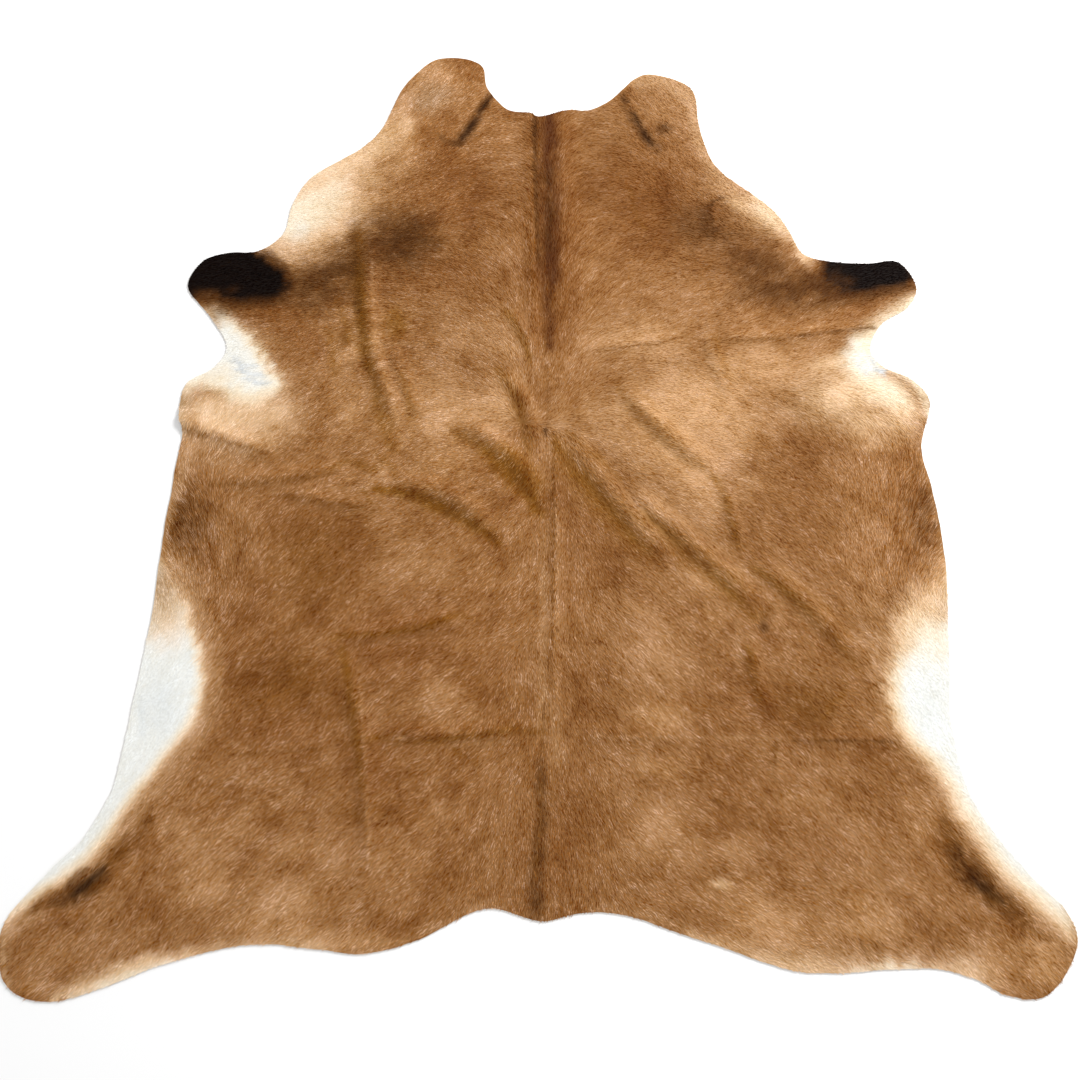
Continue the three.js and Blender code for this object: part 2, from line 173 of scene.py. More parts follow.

# Broad places where the coat of the rump and thighs is paler, and painted sheen where the
# nap catches the light: columns name, tone, x, y, rx, ry, turn, strength, soft.
PALER_AND_SHEEN_RUMP = [
    ("left hip light", "light", -626, -860, 116, 55, 10, 0.22, 0.9),
    ("left thigh wide sheen", "light", -552, -794, 164, 157, 0, 0.14, 1.0),
    ("right thigh wide sheen", "light", 618, -794, 164, 157, 0, 0.20, 1.0),
    ("right foot sheen", "light", 952, -986, 83, 71, 0, 0.30, 1.0),
    ("left hip sheen far", "light", -668, -796, 117, 86, 0, 0.45, 1.0),
    ("left rump sheen near", "light", -268, -826, 101, 74, 0, 0.30, 1.0),
    ("right loin low sheen", "light", 528, -710, 83, 38, 0, 0.35, 1.0),
    ("right hip sheen", "light", 758, -774, 51, 49, 0, 0.40, 1.0),
    ("right hem sheen", "light", 636, -958, 122, 39, 0, 0.50, 1.0),
    ("middle hem sheen", "light", 338, -968, 99, 28, 0, 0.40, 1.0),
    ("left hem sheen", "light", -308, -978, 118, 25, 0, 0.50, 1.0),
    ("left thigh knee sheen", "light", -624, -856, 124, 66, 0, 0.50, 1.0),
    ("left rump inner sheen", "light", -224, -740, 114, 87, 0, 0.35, 1.0),
    ("right rump back sheen", "light", 370, -878, 119, 62, 0, 0.30, 1.0),
    ("right haunch sheen", "light", 622, -906, 138, 80, 0, 0.50, 1.0),
    ("right rump sheen", "light", 246, -766, 157, 106, 0, 0.46, 0.9),
    ("right rump sheen low", "light", 424, -924, 172, 72, -8, 0.62, 1.0),
    ("left rump sheen", "light", -472, -896, 173, 80, 0, 0.50, 1.0),
    ("left thigh sheen", "light", -714, -720, 67, 84, 0, 0.22, 0.9),
    ("left thigh inner", "light", -590, -778, 137, 87, 20, 0.32, 0.9),
    ("right thigh sheen", "light", 754, -732, 67, 88, 0, 0.26, 0.9),
    ("right leg end", "light", 854, -1012, 140, 88, 20, 0.60, 1.0),
    ("left leg end", "light", -910, -994, 83, 46, 20, 0.16, 0.9),
    ("left foot end sheen", "light", -944, -1050, 45, 26, 0, 0.45, 1.0),
    ("left hem edge sheen", "light", -642, -984, 46, 16, 0, 0.50, 1.0),
    ("right rump pale 1", "light", 374, -804, 62, 41, 0, 0.40, 1.0),
    ("right rump pale 2", "light", 610, -906, 35, 33, 0, 0.50, 1.0),
    ("left rump pale 1", "light", -648, -710, 51, 31, 0, 0.40, 1.0),
    ("right rump pale 3", "light", 954, -1022, 75, 46, 0, 0.40, 1.0),
    ("left thigh pale", "light", -634, -860, 116, 74, 0, 0.35, 1.0),
    ("left rump pale mid", "light", -404, -822, 214, 82, -6, 0.25, 1.0),
    ("left thigh pale low", "light", -532, -932, 115, 47, 0, 0.40, 1.0),
    ("right thigh pale", "light", 696, -896, 115, 73, 0, 0.35, 1.0),
    ("right rump pale low", "light", 464, -960, 247, 71, 4, 0.45, 1.0),
    ("right leg pale", "light", 966, -996, 64, 74, 0, 0.60, 1.0),
    ("left rump pale low", "light", -416, -960, 209, 36, -2, 0.55, 1.0),
    ("left haunch pale", "light", -464, -804, 78, 49, 0, 0.50, 1.0),
]

# Broad places where the coat of the neck is browner: columns name, tone, x, y,
# rx, ry, turn, strength, soft.
BROWNER_NECK = [
    ("left neck brown", "brown", -162, 676, 198, 181, 0, 0.75, 0.9),
    ("right neck brown", "brown", 240, 666, 245, 252, 0, 0.95, 0.9),
    ("left shoulder low", "brown", -250, 462, 285, 99, -2, 0.75, 1.0),
    ("right shoulder low", "brown", 460, 498, 185, 89, -8, 0.42, 0.9),
    ("left neck brown patch", "brown", -234, 748, 124, 117, 0, 0.40, 1.0),
    ("left shoulder brown", "brown", -372, 438, 50, 109, 0, 0.35, 1.0),
    # Painted shade in the left shoulder crease.
    ("left shoulder crease deep", "deep", -452, 494, 39, 84, 0, 0.60, 1.0),
    ("leg mottle g", "brown", -790, 432, 21, 36, 20, 0.70, 1.0),
    ("left lobe smudge", "brown", -224, 890, 39, 58, 20, 0.65, 1.0),
]

# Broad places where the coat of the shoulders is browner: columns name, tone, x, y,
# rx, ry, turn, strength, soft.
BROWNER_SHOULDERS = [
    # The next two are painted shade in the left shoulder crease.
    ("left shoulder crease spot", "deep", -436, 298, 23, 40, 0, 0.85, 1.0),
    ("left shoulder crease brown", "brown", -478, 274, 36, 32, 0, 0.55, 1.0),
    ("leg mottle h", "brown", -714, 406, 37, 18, 10, 0.45, 1.0),
    ("left inner leg brown", "brown", -514, 286, 77, 60, 0, 0.60, 1.0),
]

# Broad places where the coat of the ribs is browner: columns name, tone, x, y,
# rx, ry, turn, strength, soft.
BROWNER_RIBS = [
    ("left flank brown", "deep", -466, -216, 152, 184, 0, 0.62, 0.9),
    ("left belly brown", "brown", -614, -304, 96, 163, 0, 0.45, 0.9),
    ("spine right brown", "brown", 58, -282, 54, 73, 0, 0.40, 1.0),
    # The next two are painted shade at the foot and end of the long right crease.
    ("right crease foot brown", "brown", 498, -274, 71, 35, -38, 0.32, 1.0),
    ("crease end brown", "brown", 434, -296, 58, 47, 0, 0.50, 1.0),
    ("mid back left brown", "brown", -80, -308, 104, 86, 0, 0.35, 1.0),
    ("right back brown", "brown", 130, -244, 126, 70, -38, 0.42, 0.9),
    ("right back brown top", "brown", 132, -120, 128, 113, -38, 0.50, 1.0),
    ("right rib brown", "brown", 556, -172, 127, 89, 0, 0.20, 0.9),
    ("left rib brown high", "brown", -512, -94, 150, 68, 0, 0.35, 0.9),
    ("left rib brown right", "brown", -398, -216, 84, 132, 0, 0.25, 0.9),
    ("right ribs brown", "brown", 558, -18, 108, 157, 0, 0.60, 0.9),
    ("right ribs brown low", "brown", 434, -146, 89, 80, -30, 0.20, 0.9),
    ("left spine brown", "brown", -30, -70, 65, 68, 30, 0.75, 1.0),
    ("right of spine brown", "brown", 84, -128, 73, 72, 0, 0.35, 1.0),
    ("right flank brown", "brown", 676, -194, 68, 71, 0, 0.30, 1.0),
    # Painted shade at the end of the long right crease.
    ("crease end dark", "deep", 474, -330, 21, 32, -30, 0.65, 1.0),
]

# Broad places where the coat of the loin is browner: columns name, tone, x, y,
# rx, ry, turn, strength, soft.
BROWNER_LOIN = [
    ("right flank brown spot", "brown", 470, -388, 37, 46, 0, 0.40, 1.0),
    ("left loin brown line", "brown", -78, -422, 86, 42, 0, 0.30, 1.0),
    ("left flank low brown", "brown", -544, -568, 125, 68, 0, 0.55, 1.0),
    # Painted shade at the foot of the long right crease.
    ("right crease foot brown low", "brown", 466, -372, 58, 32, -20, 0.36, 1.0),
    ("left loin deep", "deep", -510, -476, 196, 123, 14, 0.80, 1.0),
    ("left loin deep inner", "deep", -378, -512, 69, 134, 0, 0.30, 0.9),
    ("left back brown", "brown", -94, -454, 53, 82, 0, 0.38, 0.9),
    ("left back brown low", "brown", -332, -616, 100, 118, 0, 0.45, 0.9),
    ("left loin brown", "brown", -584, -520, 142, 121, 0, 0.35, 0.9),
    ("left rump brown far", "brown", -420, -552, 121, 120, 0, 0.20, 0.9),
    ("right spine brown", "brown", 102, -500, 61, 171, 0, 0.38, 0.9),
    ("right loin deep", "deep", 542, -520, 122, 105, -20, 0.70, 1.0),
    ("right loin brown", "brown", 414, -516, 134, 89, 0, 0.55, 1.0),
    ("left back mid brown", "brown", -294, -380, 248, 160, 20, 0.75, 1.0),
    ("left back low brown", "brown", -568, -406, 123, 46, 10, 0.25, 1.0),
    ("left groin brown", "brown", -506, -582, 149, 107, 0, 0.35, 1.0),
    ("left flank patch small", "deep", -498, -364, 54, 25, 20, 0.25, 0.9),
]

# Broad places where the coat of the rump and thighs is browner: columns name, tone, x, y,
# rx, ry, turn, strength, soft.
BROWNER_RUMP = [
    ("left loin wide brown", "brown", -256, -652, 219, 254, 0, 0.16, 1.0),
    ("left rump line brown", "brown", -348, -766, 67, 94, 0, 0.30, 1.0),
    ("right loin line brown", "brown", 76, -656, 48, 55, 0, 0.35, 1.0),
    ("right rump line brown", "brown", 168, -748, 63, 65, 0, 0.25, 1.0),
    ("tail edge brown", "brown", -74, -874, 116, 37, 0, 0.30, 1.0),
    ("right foot brown", "brown", 802, -1000, 61, 28, 0, 0.40, 1.0),
    ("spine tail right brown", "brown", 50, -804, 47, 131, 0, 0.70, 1.0),
    ("spine tail left brown", "brown", -32, -796, 23, 112, 0, 0.35, 1.0),
    ("left rump streak", "deep", -338, -732, 102, 38, 0, 0.40, 0.9),
    ("left rump brown", "brown", -560, -818, 214, 112, 10, 0.30, 0.9),
    ("left rump near tail", "brown", -134, -748, 157, 152, 0, 0.10, 0.9),
    ("tail brown", "brown", 20, -826, 116, 130, 0, 0.42, 0.9),
    ("right rump brown", "brown", 70, -748, 63, 144, 0, 0.34, 0.9),
    ("right rump brown mid", "brown", 352, -682, 107, 97, 0, 0.34, 0.9),
    ("right rump brown low", "brown", 560, -800, 90, 75, 0, 0.26, 0.9),
    ("right thigh brown", "brown", 704, -906, 88, 47, -30, 0.34, 0.9),
    ("left thigh brown", "brown", -764, -910, 65, 43, 30, 0.40, 0.9),
    ("left leg brown", "brown", -950, -942, 65, 47, 30, 0.30, 0.9),
    ("left haunch brown", "brown", -348, -706, 63, 85, 0, 0.30, 1.0),
    ("tail brown broad", "brown", 4, -724, 181, 138, 0, 0.20, 1.0),
]

# The pale sides of the neck: columns name, tone, x, y, rx, ry, turn,
# strength, soft.
NECK_PALE = [
    ("left cheek upper peach", "tan", -364, 776, 105, 112, 30, 0.80, 1.0),
    ("left cheek inner tan", "tan", -384, 720, 43, 100, 0, 0.50, 1.0),
    ("left cheek white", "cream", -546, 632, 70, 92, 30, 0.80, 1.0),
    ("left cheek white low", "white", -556, 578, 42, 54, 30, 0.50, 1.0),
    ("left cheek inner peach", "peach", -400, 734, 48, 47, 30, 0.55, 1.0),
    ("left cheek inner peach low", "peach", -418, 626, 35, 54, 0, 0.45, 1.0),
    ("right cheek tan", "tan", 470, 682, 156, 82, -38, 0.85, 1.0),
    ("right cheek peach", "peach", 538, 616, 122, 59, -42, 0.85, 1.0),
    ("right cheek cream", "cream", 542, 622, 84, 32, -40, 0.60, 1.0),
    ("right cheek top", "peach", 468, 654, 47, 27, -30, 0.80, 1.0),
]

# The dark shoulders and flanks: columns name, tone, x, y, rx, ry, turn,
# strength, soft.
SHOULDER_DARK = [
    ("left shoulder dark", "umber", -312, 558, 135, 133, 30, 1.00, 1.0),
    ("left shoulder dark tail", "umber", -458, 472, 161, 99, 32, 0.85, 1.0),
    ("right shoulder dark", "umber", 378, 594, 131, 113, -14, 0.62, 1.0),
    ("right shoulder dark mid", "umber", 502, 498, 152, 116, -34, 0.66, 1.0),
    ("right shoulder dark low", "umber", 532, 442, 138, 104, -24, 0.55, 1.0),
    ("left flank dark", "umber", -758, -124, 90, 139, 4, 0.56, 1.0),
    ("right flank dark", "umber", 830, -110, 86, 149, -6, 0.55, 1.0),
]

# Drawn areas, for the markings with a clear edge: columns area, x, y.
AREAS = [
    ("belly left", -820, -222),
    ("belly left", -766, -282),
    ("belly left", -730, -342),
    ("belly left", -704, -420),
    ("belly left", -694, -490),
    ("belly left", -706, -544),
    ("belly left", -734, -590),
    ("belly left", -766, -636),
    ("belly left", -798, -678),
    ("belly left", -822, -724),
    ("belly left", -846, -770),
    ("belly left", -878, -808),
    ("belly left", -916, -838),
    ("belly left", -958, -868),
    ("belly left", -1028, -918),
    ("belly left", -1086, -860),
    ("belly left", -968, -592),
    ("belly left", -914, -304),
    ("belly right", 898, -252),
    ("belly right", 840, -296),
    ("belly right", 784, -350),
    ("belly right", 748, -410),
    ("belly right", 734, -476),
    ("belly right", 738, -532),
    ("belly right", 758, -582),
    ("belly right", 794, -626),
    ("belly right", 822, -670),
    ("belly right", 844, -722),
    ("belly right", 876, -774),
    ("belly right", 906, -824),
    ("belly right", 948, -866),
    ("belly right", 994, -906),
    ("belly right", 1052, -954),
    ("belly right", 1112, -932),
    ("belly right", 1114, -804),
    ("belly right", 966, -592),
    ("belly right", 938, -346),
    ("cheek left", -344, 884),
    ("cheek left", -384, 792),
    ("cheek left", -398, 714),
    ("cheek left", -392, 654),
    ("cheek left", -408, 598),
    ("cheek left", -438, 560),
    ("cheek left", -482, 530),
    ("cheek left", -526, 510),
    ("cheek left", -574, 498),
    ("cheek left", -640, 510),
    ("cheek left", -704, 558),
    ("cheek left", -644, 804),
    ("cheek left", -482, 930),
    ("armpit left", -738, 374),
    ("armpit left", -694, 352),
    ("armpit left", -646, 302),
    ("armpit left", -610, 248),
    ("armpit left", -584, 214),
    ("armpit left", -572, 188),
    ("armpit left", -592, 166),
    ("armpit left", -622, 148),
    ("armpit left", -656, 152),
    ("armpit left", -684, 170),
    ("armpit left", -712, 186),
    ("armpit left", -744, 190),
    ("armpit left", -784, 188),
    ("armpit left", -810, 224),
    ("armpit left", -784, 286),
    ("armpit left", -790, 336),
    ("foreleg left", -816, 384),
    ("foreleg left", -818, 498),
    ("foreleg left", -758, 546),
    ("foreleg left", -672, 534),
    ("foreleg left", -626, 504),
    ("foreleg left", -582, 462),
    ("foreleg left", -582, 420),
    ("foreleg left", -632, 400),
    ("foreleg left", -696, 402),
    ("foreleg left", -742, 426),
    ("foreleg left", -778, 416),
    ("foreleg right", 660, 494),
    ("foreleg right", 696, 546),
    ("foreleg right", 836, 558),
    ("foreleg right", 874, 520),
    ("foreleg right", 846, 446),
    ("foreleg right", 806, 434),
    ("foreleg right", 744, 420),
    ("foreleg right", 694, 424),
    ("foreleg right", 660, 452),
]

# Tones of the left cheek, from the edge of an area inward: columns name, area, tone,
# how far inside the edge it is half there, over how many mm, strength.
CHEEK_TONES = [
    ("cheek fringe", "cheek left", "tan", -39, 77, 0.90),
    ("cheek peach", "cheek left", "peach", 19, 73, 0.80),
    ("cheek cream", "cheek left", "cream", 66, 58, 0.70),
]

# Tones of the left armpit, from the edge of an area inward: columns name, area, tone,
# how far inside the edge it is half there, over how many mm, strength.
ARMPIT_TONES = [
    ("armpit fringe", "armpit left", "tan", -25, 50, 0.90),
    ("armpit cream", "armpit left", "cream", -6, 33, 1.00),
    ("armpit white", "armpit left", "white", 17, 35, 0.85),
]

# Tones of the forelegs, from the edge of an area inward: columns name, area, tone,
# how far inside the edge it is half there, over how many mm, strength.
FORELEG_TONES = [
    ("left foreleg brown", "foreleg left", "umber", -17, 35, 1.00),
    ("left foreleg black", "foreleg left", "black", 2, 23, 1.00),
    ("right foreleg brown", "foreleg right", "umber", -15, 31, 0.95),
    ("right foreleg black", "foreleg right", "black", 4, 19, 1.00),
]

# Tones of the belly, from the edge of an area inward: columns name, area, tone,
# how far inside the edge it is half there, over how many mm, strength.
BELLY_TONES = [
    ("left belly fringe", "belly left", "tan", -46, 58, 0.85),
    ("left belly peach", "belly left", "peach", -19, 21, 0.95),
    ("left belly cream", "belly left", "cream", -10, 17, 1.00),
    ("left belly white", "belly left", "white", 2, 23, 1.00),
    ("right belly fringe", "belly right", "tan", -48, 50, 0.85),
    ("right belly peach", "belly right", "peach", -31, 25, 0.95),
    ("right belly cream", "belly right", "cream", -15, 25, 1.00),
    ("right belly white", "belly right", "white", 4, 31, 1.00),
]

# The black forelegs: columns name, tone, x, y, rx, ry, turn,
# strength, soft.
FORELEGS = [
    ("left foreleg root", "umber", -514, 420, 124, 93, 0, 0.62, 1.0),
    ("right foreleg root", "umber", 604, 426, 151, 93, 6, 0.85, 1.0),
    ("left foreleg brown", "umber", -682, 420, 183, 98, -6, 1.00, 0.9),
    ("left foreleg under", "brown", -598, 354, 141, 61, -26, 0.85, 0.8),
    ("left foreleg tip", "brown", -774, 410, 46, 36, -40, 0.85, 1.0),
    ("left foreleg fringe", "brown", -628, 370, 100, 36, -10, 0.60, 1.0),
    ("right foreleg brown", "umber", 742, 436, 151, 67, 4, 0.90, 0.8),
    ("right foreleg slope", "umber", 654, 436, 83, 34, 36, 0.85, 0.9),
    ("right foreleg tan", "brown", 726, 370, 118, 36, 24, 0.50, 0.8),
    ("right foreleg tip", "brown", 854, 436, 21, 47, 0, 0.80, 0.9),
]

# The white armpits and pale elbows: columns name, tone, x, y, rx, ry, turn,
# strength, soft.
ARMPITS = [
    ("left armpit under", "tan", -694, 80, 175, 62, -10, 0.55, 1.0),
    ("left elbow under tan", "tan", -706, 10, 130, 33, -8, 0.50, 1.0),
    ("right elbow under tan", "tan", 746, 52, 131, 38, 0, 0.50, 1.0),
    ("right armpit under", "tan", 750, 84, 145, 57, 6, 0.60, 1.0),
    ("left elbow lower", "tan", -646, 80, 211, 109, -2, 0.90, 1.0),
    ("right elbow low", "tan", 730, 60, 123, 47, -8, 0.95, 1.0),
    ("left armpit peach", "peach", -642, 132, 163, 130, -14, 0.85, 1.0),
    ("right elbow peach", "peach", 692, 170, 93, 63, 0, 0.50, 1.0),
    ("left elbow peach", "peach", -706, 128, 101, 67, 4, 0.95, 0.7),
    ("right armpit peach", "peach", 682, 160, 204, 121, 8, 0.90, 1.0),
    ("right armpit left", "peach", 648, 240, 67, 39, 6, 0.80, 1.0),
    ("right elbow peach", "peach", 794, 128, 88, 82, -30, 0.95, 0.9),
    ("right armpit cream", "cream", 724, 240, 76, 74, 10, 1.00, 0.8),
    ("right elbow cream", "cream", 766, 170, 80, 53, -24, 0.90, 0.8),
    ("right armpit white", "skin", 740, 264, 81, 84, -10, 1.00, 1.0),
]

# Where the white belly begins: columns name, tone, x, y, rx, ry, turn,
# strength, soft.
BELLY = [
    ("right belly lead tan", "tan", 672, -338, 62, 89, 0, 0.45, 1.0),
    ("left belly top", "tan", -780, -264, 92, 117, 0, 0.75, 1.0),
    ("right belly top", "tan", 834, -270, 92, 87, 0, 0.70, 1.0),
    ("right belly side tan", "tan", 702, -384, 56, 113, -4, 0.70, 1.0),
    ("left belly top peach", "peach", -764, -342, 91, 93, 0, 0.65, 1.0),
    ("right belly top peach", "peach", 816, -316, 104, 81, 0, 0.85, 1.0),
    ("right belly side peach", "peach", 750, -388, 45, 71, 0, 0.75, 1.0),
    ("right belly top peach low", "peach", 774, -364, 75, 51, 0, 0.60, 1.0),
    ("right belly top cream", "cream", 808, -388, 83, 75, 0, 0.60, 1.0),
    ("left belly skin", "skin", -766, -524, 57, 113, 14, 0.60, 1.0),
    ("left belly skin edge", "skin", -800, -548, 18, 76, 12, 0.70, 1.0),
    ("right belly skin", "skin", 800, -528, 53, 109, -6, 0.60, 1.0),
]

# Small single marks: columns name, tone, x, y, rx, ry, turn,
# strength, soft.
SPOTS = [
    ("left foot hem peach", "peach", -842, -1048, 49, 17, -20, 0.45, 1.0),
    ("left whorl", "brown", -698, -216, 34, 79, 0, 0.35, 0.9),
    ("white oval", "peach", 350, -866, 33, 17, -8, 0.80, 0.8),
    ("leg mottle a", "umber", -760, 410, 50, 26, -20, 0.85, 1.0),
    ("leg mottle b", "umber", -698, 426, 32, 18, 10, 0.50, 1.0),
    ("leg mottle c", "umber", -644, 400, 50, 21, 0, 0.55, 1.0),
    ("leg mottle d", "umber", 706, 446, 37, 26, 0, 0.65, 1.0),
    ("leg mottle e", "umber", 792, 432, 37, 13, 0, 0.55, 1.0),
    ("leg mottle f", "umber", 852, 478, 16, 24, 0, 0.60, 1.0),
    ("foot of white a", "cream", -640, 168, 102, 34, 0, 0.75, 1.0),
    ("foot of white b", "peach", -650, 134, 141, 53, 0, 0.70, 1.0),
    ("foot of white c", "peach", 720, 94, 79, 48, -8, 0.70, 1.0),
    # Painted shade along the left shoulder crease.
    ("left crease brown", "umber", -424, 530, 32, 159, 0, 0.40, 1.0),
    ("right leg root dark", "umber", 488, 410, 101, 51, 0, 0.50, 1.0),
    ("right leg end dark", "umber", 674, 452, 28, 57, -30, 0.60, 1.0),
    ("right leg web dark", "umber", 650, 442, 55, 36, -40, 0.50, 1.0),
    ("spot right", "umber", 462, -358, 14, 17, 0, 0.75, 0.8),
    ("spot loin", "deep", 548, -534, 24, 18, -40, 0.50, 0.8),
    ("right neck spot", "umber", 298, 864, 31, 26, 20, 0.75, 1.0),
    # The next four lie on the folds: painted shade in them.
    ("left withers amber", "amber", -318, 338, 29, 56, 8, 0.85, 0.8),
    ("left withers gold", "gold", -328, 350, 45, 71, -20, 0.70, 1.0),
    ("left back amber", "amber", -40, -14, 56, 93, 50, 0.55, 0.9),
    ("knot mark", "umber", 14, 78, 7, 17, 0, 0.90, 0.7),
]

# Marks on the hind legs, rump edge and armpits: columns name, tone, x0, y0, x1, y1,
# x2, y2, w0, w1, w2, strength, soft.
LEG_STRIPS = [
    ("right hind cream", "cream", 588, -1025, 711, -1025, 806, -1035, 19, 30, 15, 0.85, 0.9),
    ("left hind edge", "peach", -994, -905, -1013, -959, -996, -1047, 10, 8, 6, 0.40, 0.8),
    ("rump edge left", "tan", -640, -995, -452, -986, -299, -996, 9, 9, 8, 0.60, 0.8),
    ("rump edge right", "tan", 307, -979, 475, -1030, 625, -1028, 9, 11, 9, 0.70, 0.8),
    ("left hind fuzz", "deep", -821, -815, -790, -780, -766, -744, 25, 25, 16, 0.60, 1.0),
    ("left hind fuzz top", "deep", -761, -721, -762, -747, -775, -770, 12, 16, 12, 0.50, 1.0),
    ("left hind low fuzz", "deep", -966, -914, -934, -900, -893, -887, 21, 29, 31, 0.80, 1.0),
    ("left hind core a", "umber", -922, -898, -882, -880, -849, -852, 25, 42, 31, 0.90, 0.9),
    ("left hind core b", "deep", -858, -860, -829, -824, -797, -789, 27, 29, 23, 0.98, 1.0),
    ("left hind black", "black", -897, -889, -872, -869, -841, -837, 10, 15, 12, 0.60, 1.0),
    ("left hind spikes", "umber", -907, -867, -890, -848, -869, -836, 10, 14, 12, 0.60, 1.0),
    ("right hind fuzz", "deep", 796, -755, 813, -808, 853, -863, 23, 43, 47, 0.75, 1.0),
    ("right hind core a", "umber", 813, -811, 847, -861, 894, -903, 25, 42, 35, 1.00, 1.0),
    ("right hind core b", "deep", 877, -891, 918, -923, 967, -957, 29, 29, 17, 1.00, 1.0),
    ("right hind black", "black", 842, -860, 863, -878, 886, -894, 8, 15, 10, 0.35, 1.0),
    ("hind rim left", "peach", -985, -892, -1018, -950, -1001, -1039, 27, 23, 19, 0.20, 0.9),
    ("hind rim right", "tan", 1017, -905, 1027, -968, 985, -1047, 23, 23, 23, 0.75, 0.9),
    ("left armpit skin a", "ash", -691, 249, -659, 239, -627, 234, 6, 8, 4, 0.55, 0.8),
    ("left armpit skin b", "ash", -680, 229, -644, 217, -603, 210, 6, 9, 6, 0.55, 0.8),
    ("left armpit skin c", "ash", -656, 205, -624, 195, -589, 197, 4, 7, 4, 0.55, 0.8),
    ("left armpit skin d", "ash", -697, 269, -678, 254, -653, 219, 3, 6, 4, 0.55, 0.8),
    ("right armpit skin a", "ash", 710, 234, 745, 224, 780, 219, 4, 8, 4, 0.80, 0.8),
    ("right armpit skin b", "ash", 698, 249, 722, 219, 743, 205, 3, 6, 3, 0.80, 0.8),
    ("right armpit skin c", "ash", 739, 259, 750, 234, 770, 205, 3, 6, 3, 0.80, 0.8),
]

# The line of the spine: columns name, tone, x0, y0, x1, y1,
# x2, y2, w0, w1, w2, strength, soft.
SPINE = [
    ("spine brown neck", "brown", 11, 907, 15, 665, 19, 324, 85, 94, 94, 0.95, 1.0),
    ("spine brown neck core", "deep", 16, 907, 18, 665, 22, 400, 57, 64, 59, 0.60, 1.0),
    ("spine brown neck right", "brown", 69, 861, 71, 611, 74, 387, 28, 37, 42, 0.70, 1.0),
    ("spine shade neck", "plum", 20, 895, 25, 692, 24, 462, 33, 47, 40, 1.00, 1.0),
    ("spine shade neck core", "umber", 23, 748, 25, 651, 20, 530, 19, 24, 21, 0.80, 1.0),
    ("spine shade withers", "plum", 24, 499, 19, 400, 19, 274, 41, 34, 16, 0.65, 1.0),
    ("spine band left", "tan", 10, -162, 10, -325, 6, -576, 10, 15, 17, 0.50, 0.9),
    ("spine band right", "tan", 38, -83, 39, -325, 35, -632, 8, 10, 19, 0.45, 0.9),
    # The spine line is painted shade in the crease where the hair parts along the spine.
    ("spine line", "deep", 32, 75, 33, -173, 28, -388, 5, 5, 3, 0.80, 0.9),
    ("spine line neck", "umber", -9, 898, -6, 692, -1, 499, 8, 9, 7, 1.00, 0.8),
    ("spine line withers", "deep", 6, 400, 17, 249, 19, 91, 4, 4, 4, 0.50, 0.6),
    ("spine stripe tail", "umber", 8, -636, 5, -795, -8, -934, 14, 23, 27, 0.66, 0.9),
    ("spine line tail", "deep", 12, -512, 5, -690, -4, -860, 4, 5, 4, 0.70, 0.7),
]

# Short dark stripes and dapples of the neck: columns name, tone, x0, y0, x1, y1,
# x2, y2, w0, w1, w2, strength, soft.
NECK_MARKS = [
    ("neck rim left", "peach", -329, 867, -461, 762, -564, 692, 52, 48, 38, 0.80, 0.9),
    ("neck rim left high", "tan", -243, 1060, -319, 971, -339, 855, 34, 39, 44, 0.55, 0.9),
    ("neck rim right", "tan", 386, 948, 395, 818, 476, 692, 34, 38, 43, 1.00, 0.9),
    ("neck stripe left", "umber", -116, 965, -151, 890, -186, 827, 15, 22, 24, 1.00, 0.8),
    ("neck stripe left core", "black", -128, 936, -156, 878, -182, 835, 5, 10, 12, 0.45, 1.0),
    ("neck stripe left tail", "umber", -181, 824, -208, 821, -232, 844, 14, 14, 12, 0.70, 1.0),
    ("neck stripe right", "umber", 199, 965, 231, 884, 282, 810, 12, 19, 22, 1.00, 0.8),
    ("neck stripe right core", "black", 226, 907, 249, 861, 272, 821, 5, 10, 12, 0.40, 1.0),
    ("neck stripe left smudge", "deep", -167, 971, -203, 913, -243, 867, 24, 29, 19, 0.28, 0.9),
    ("left neck dapple", "deep", -232, 676, -205, 692, -162, 676, 14, 19, 12, 0.20, 0.9),
    ("left neck rib", "tan", -139, 753, -80, 756, -32, 770, 3, 4, 3, 0.35, 0.7),
    ("right neck dapple", "amber", 212, 692, 220, 638, 246, 584, 7, 9, 7, 0.40, 0.8),
]
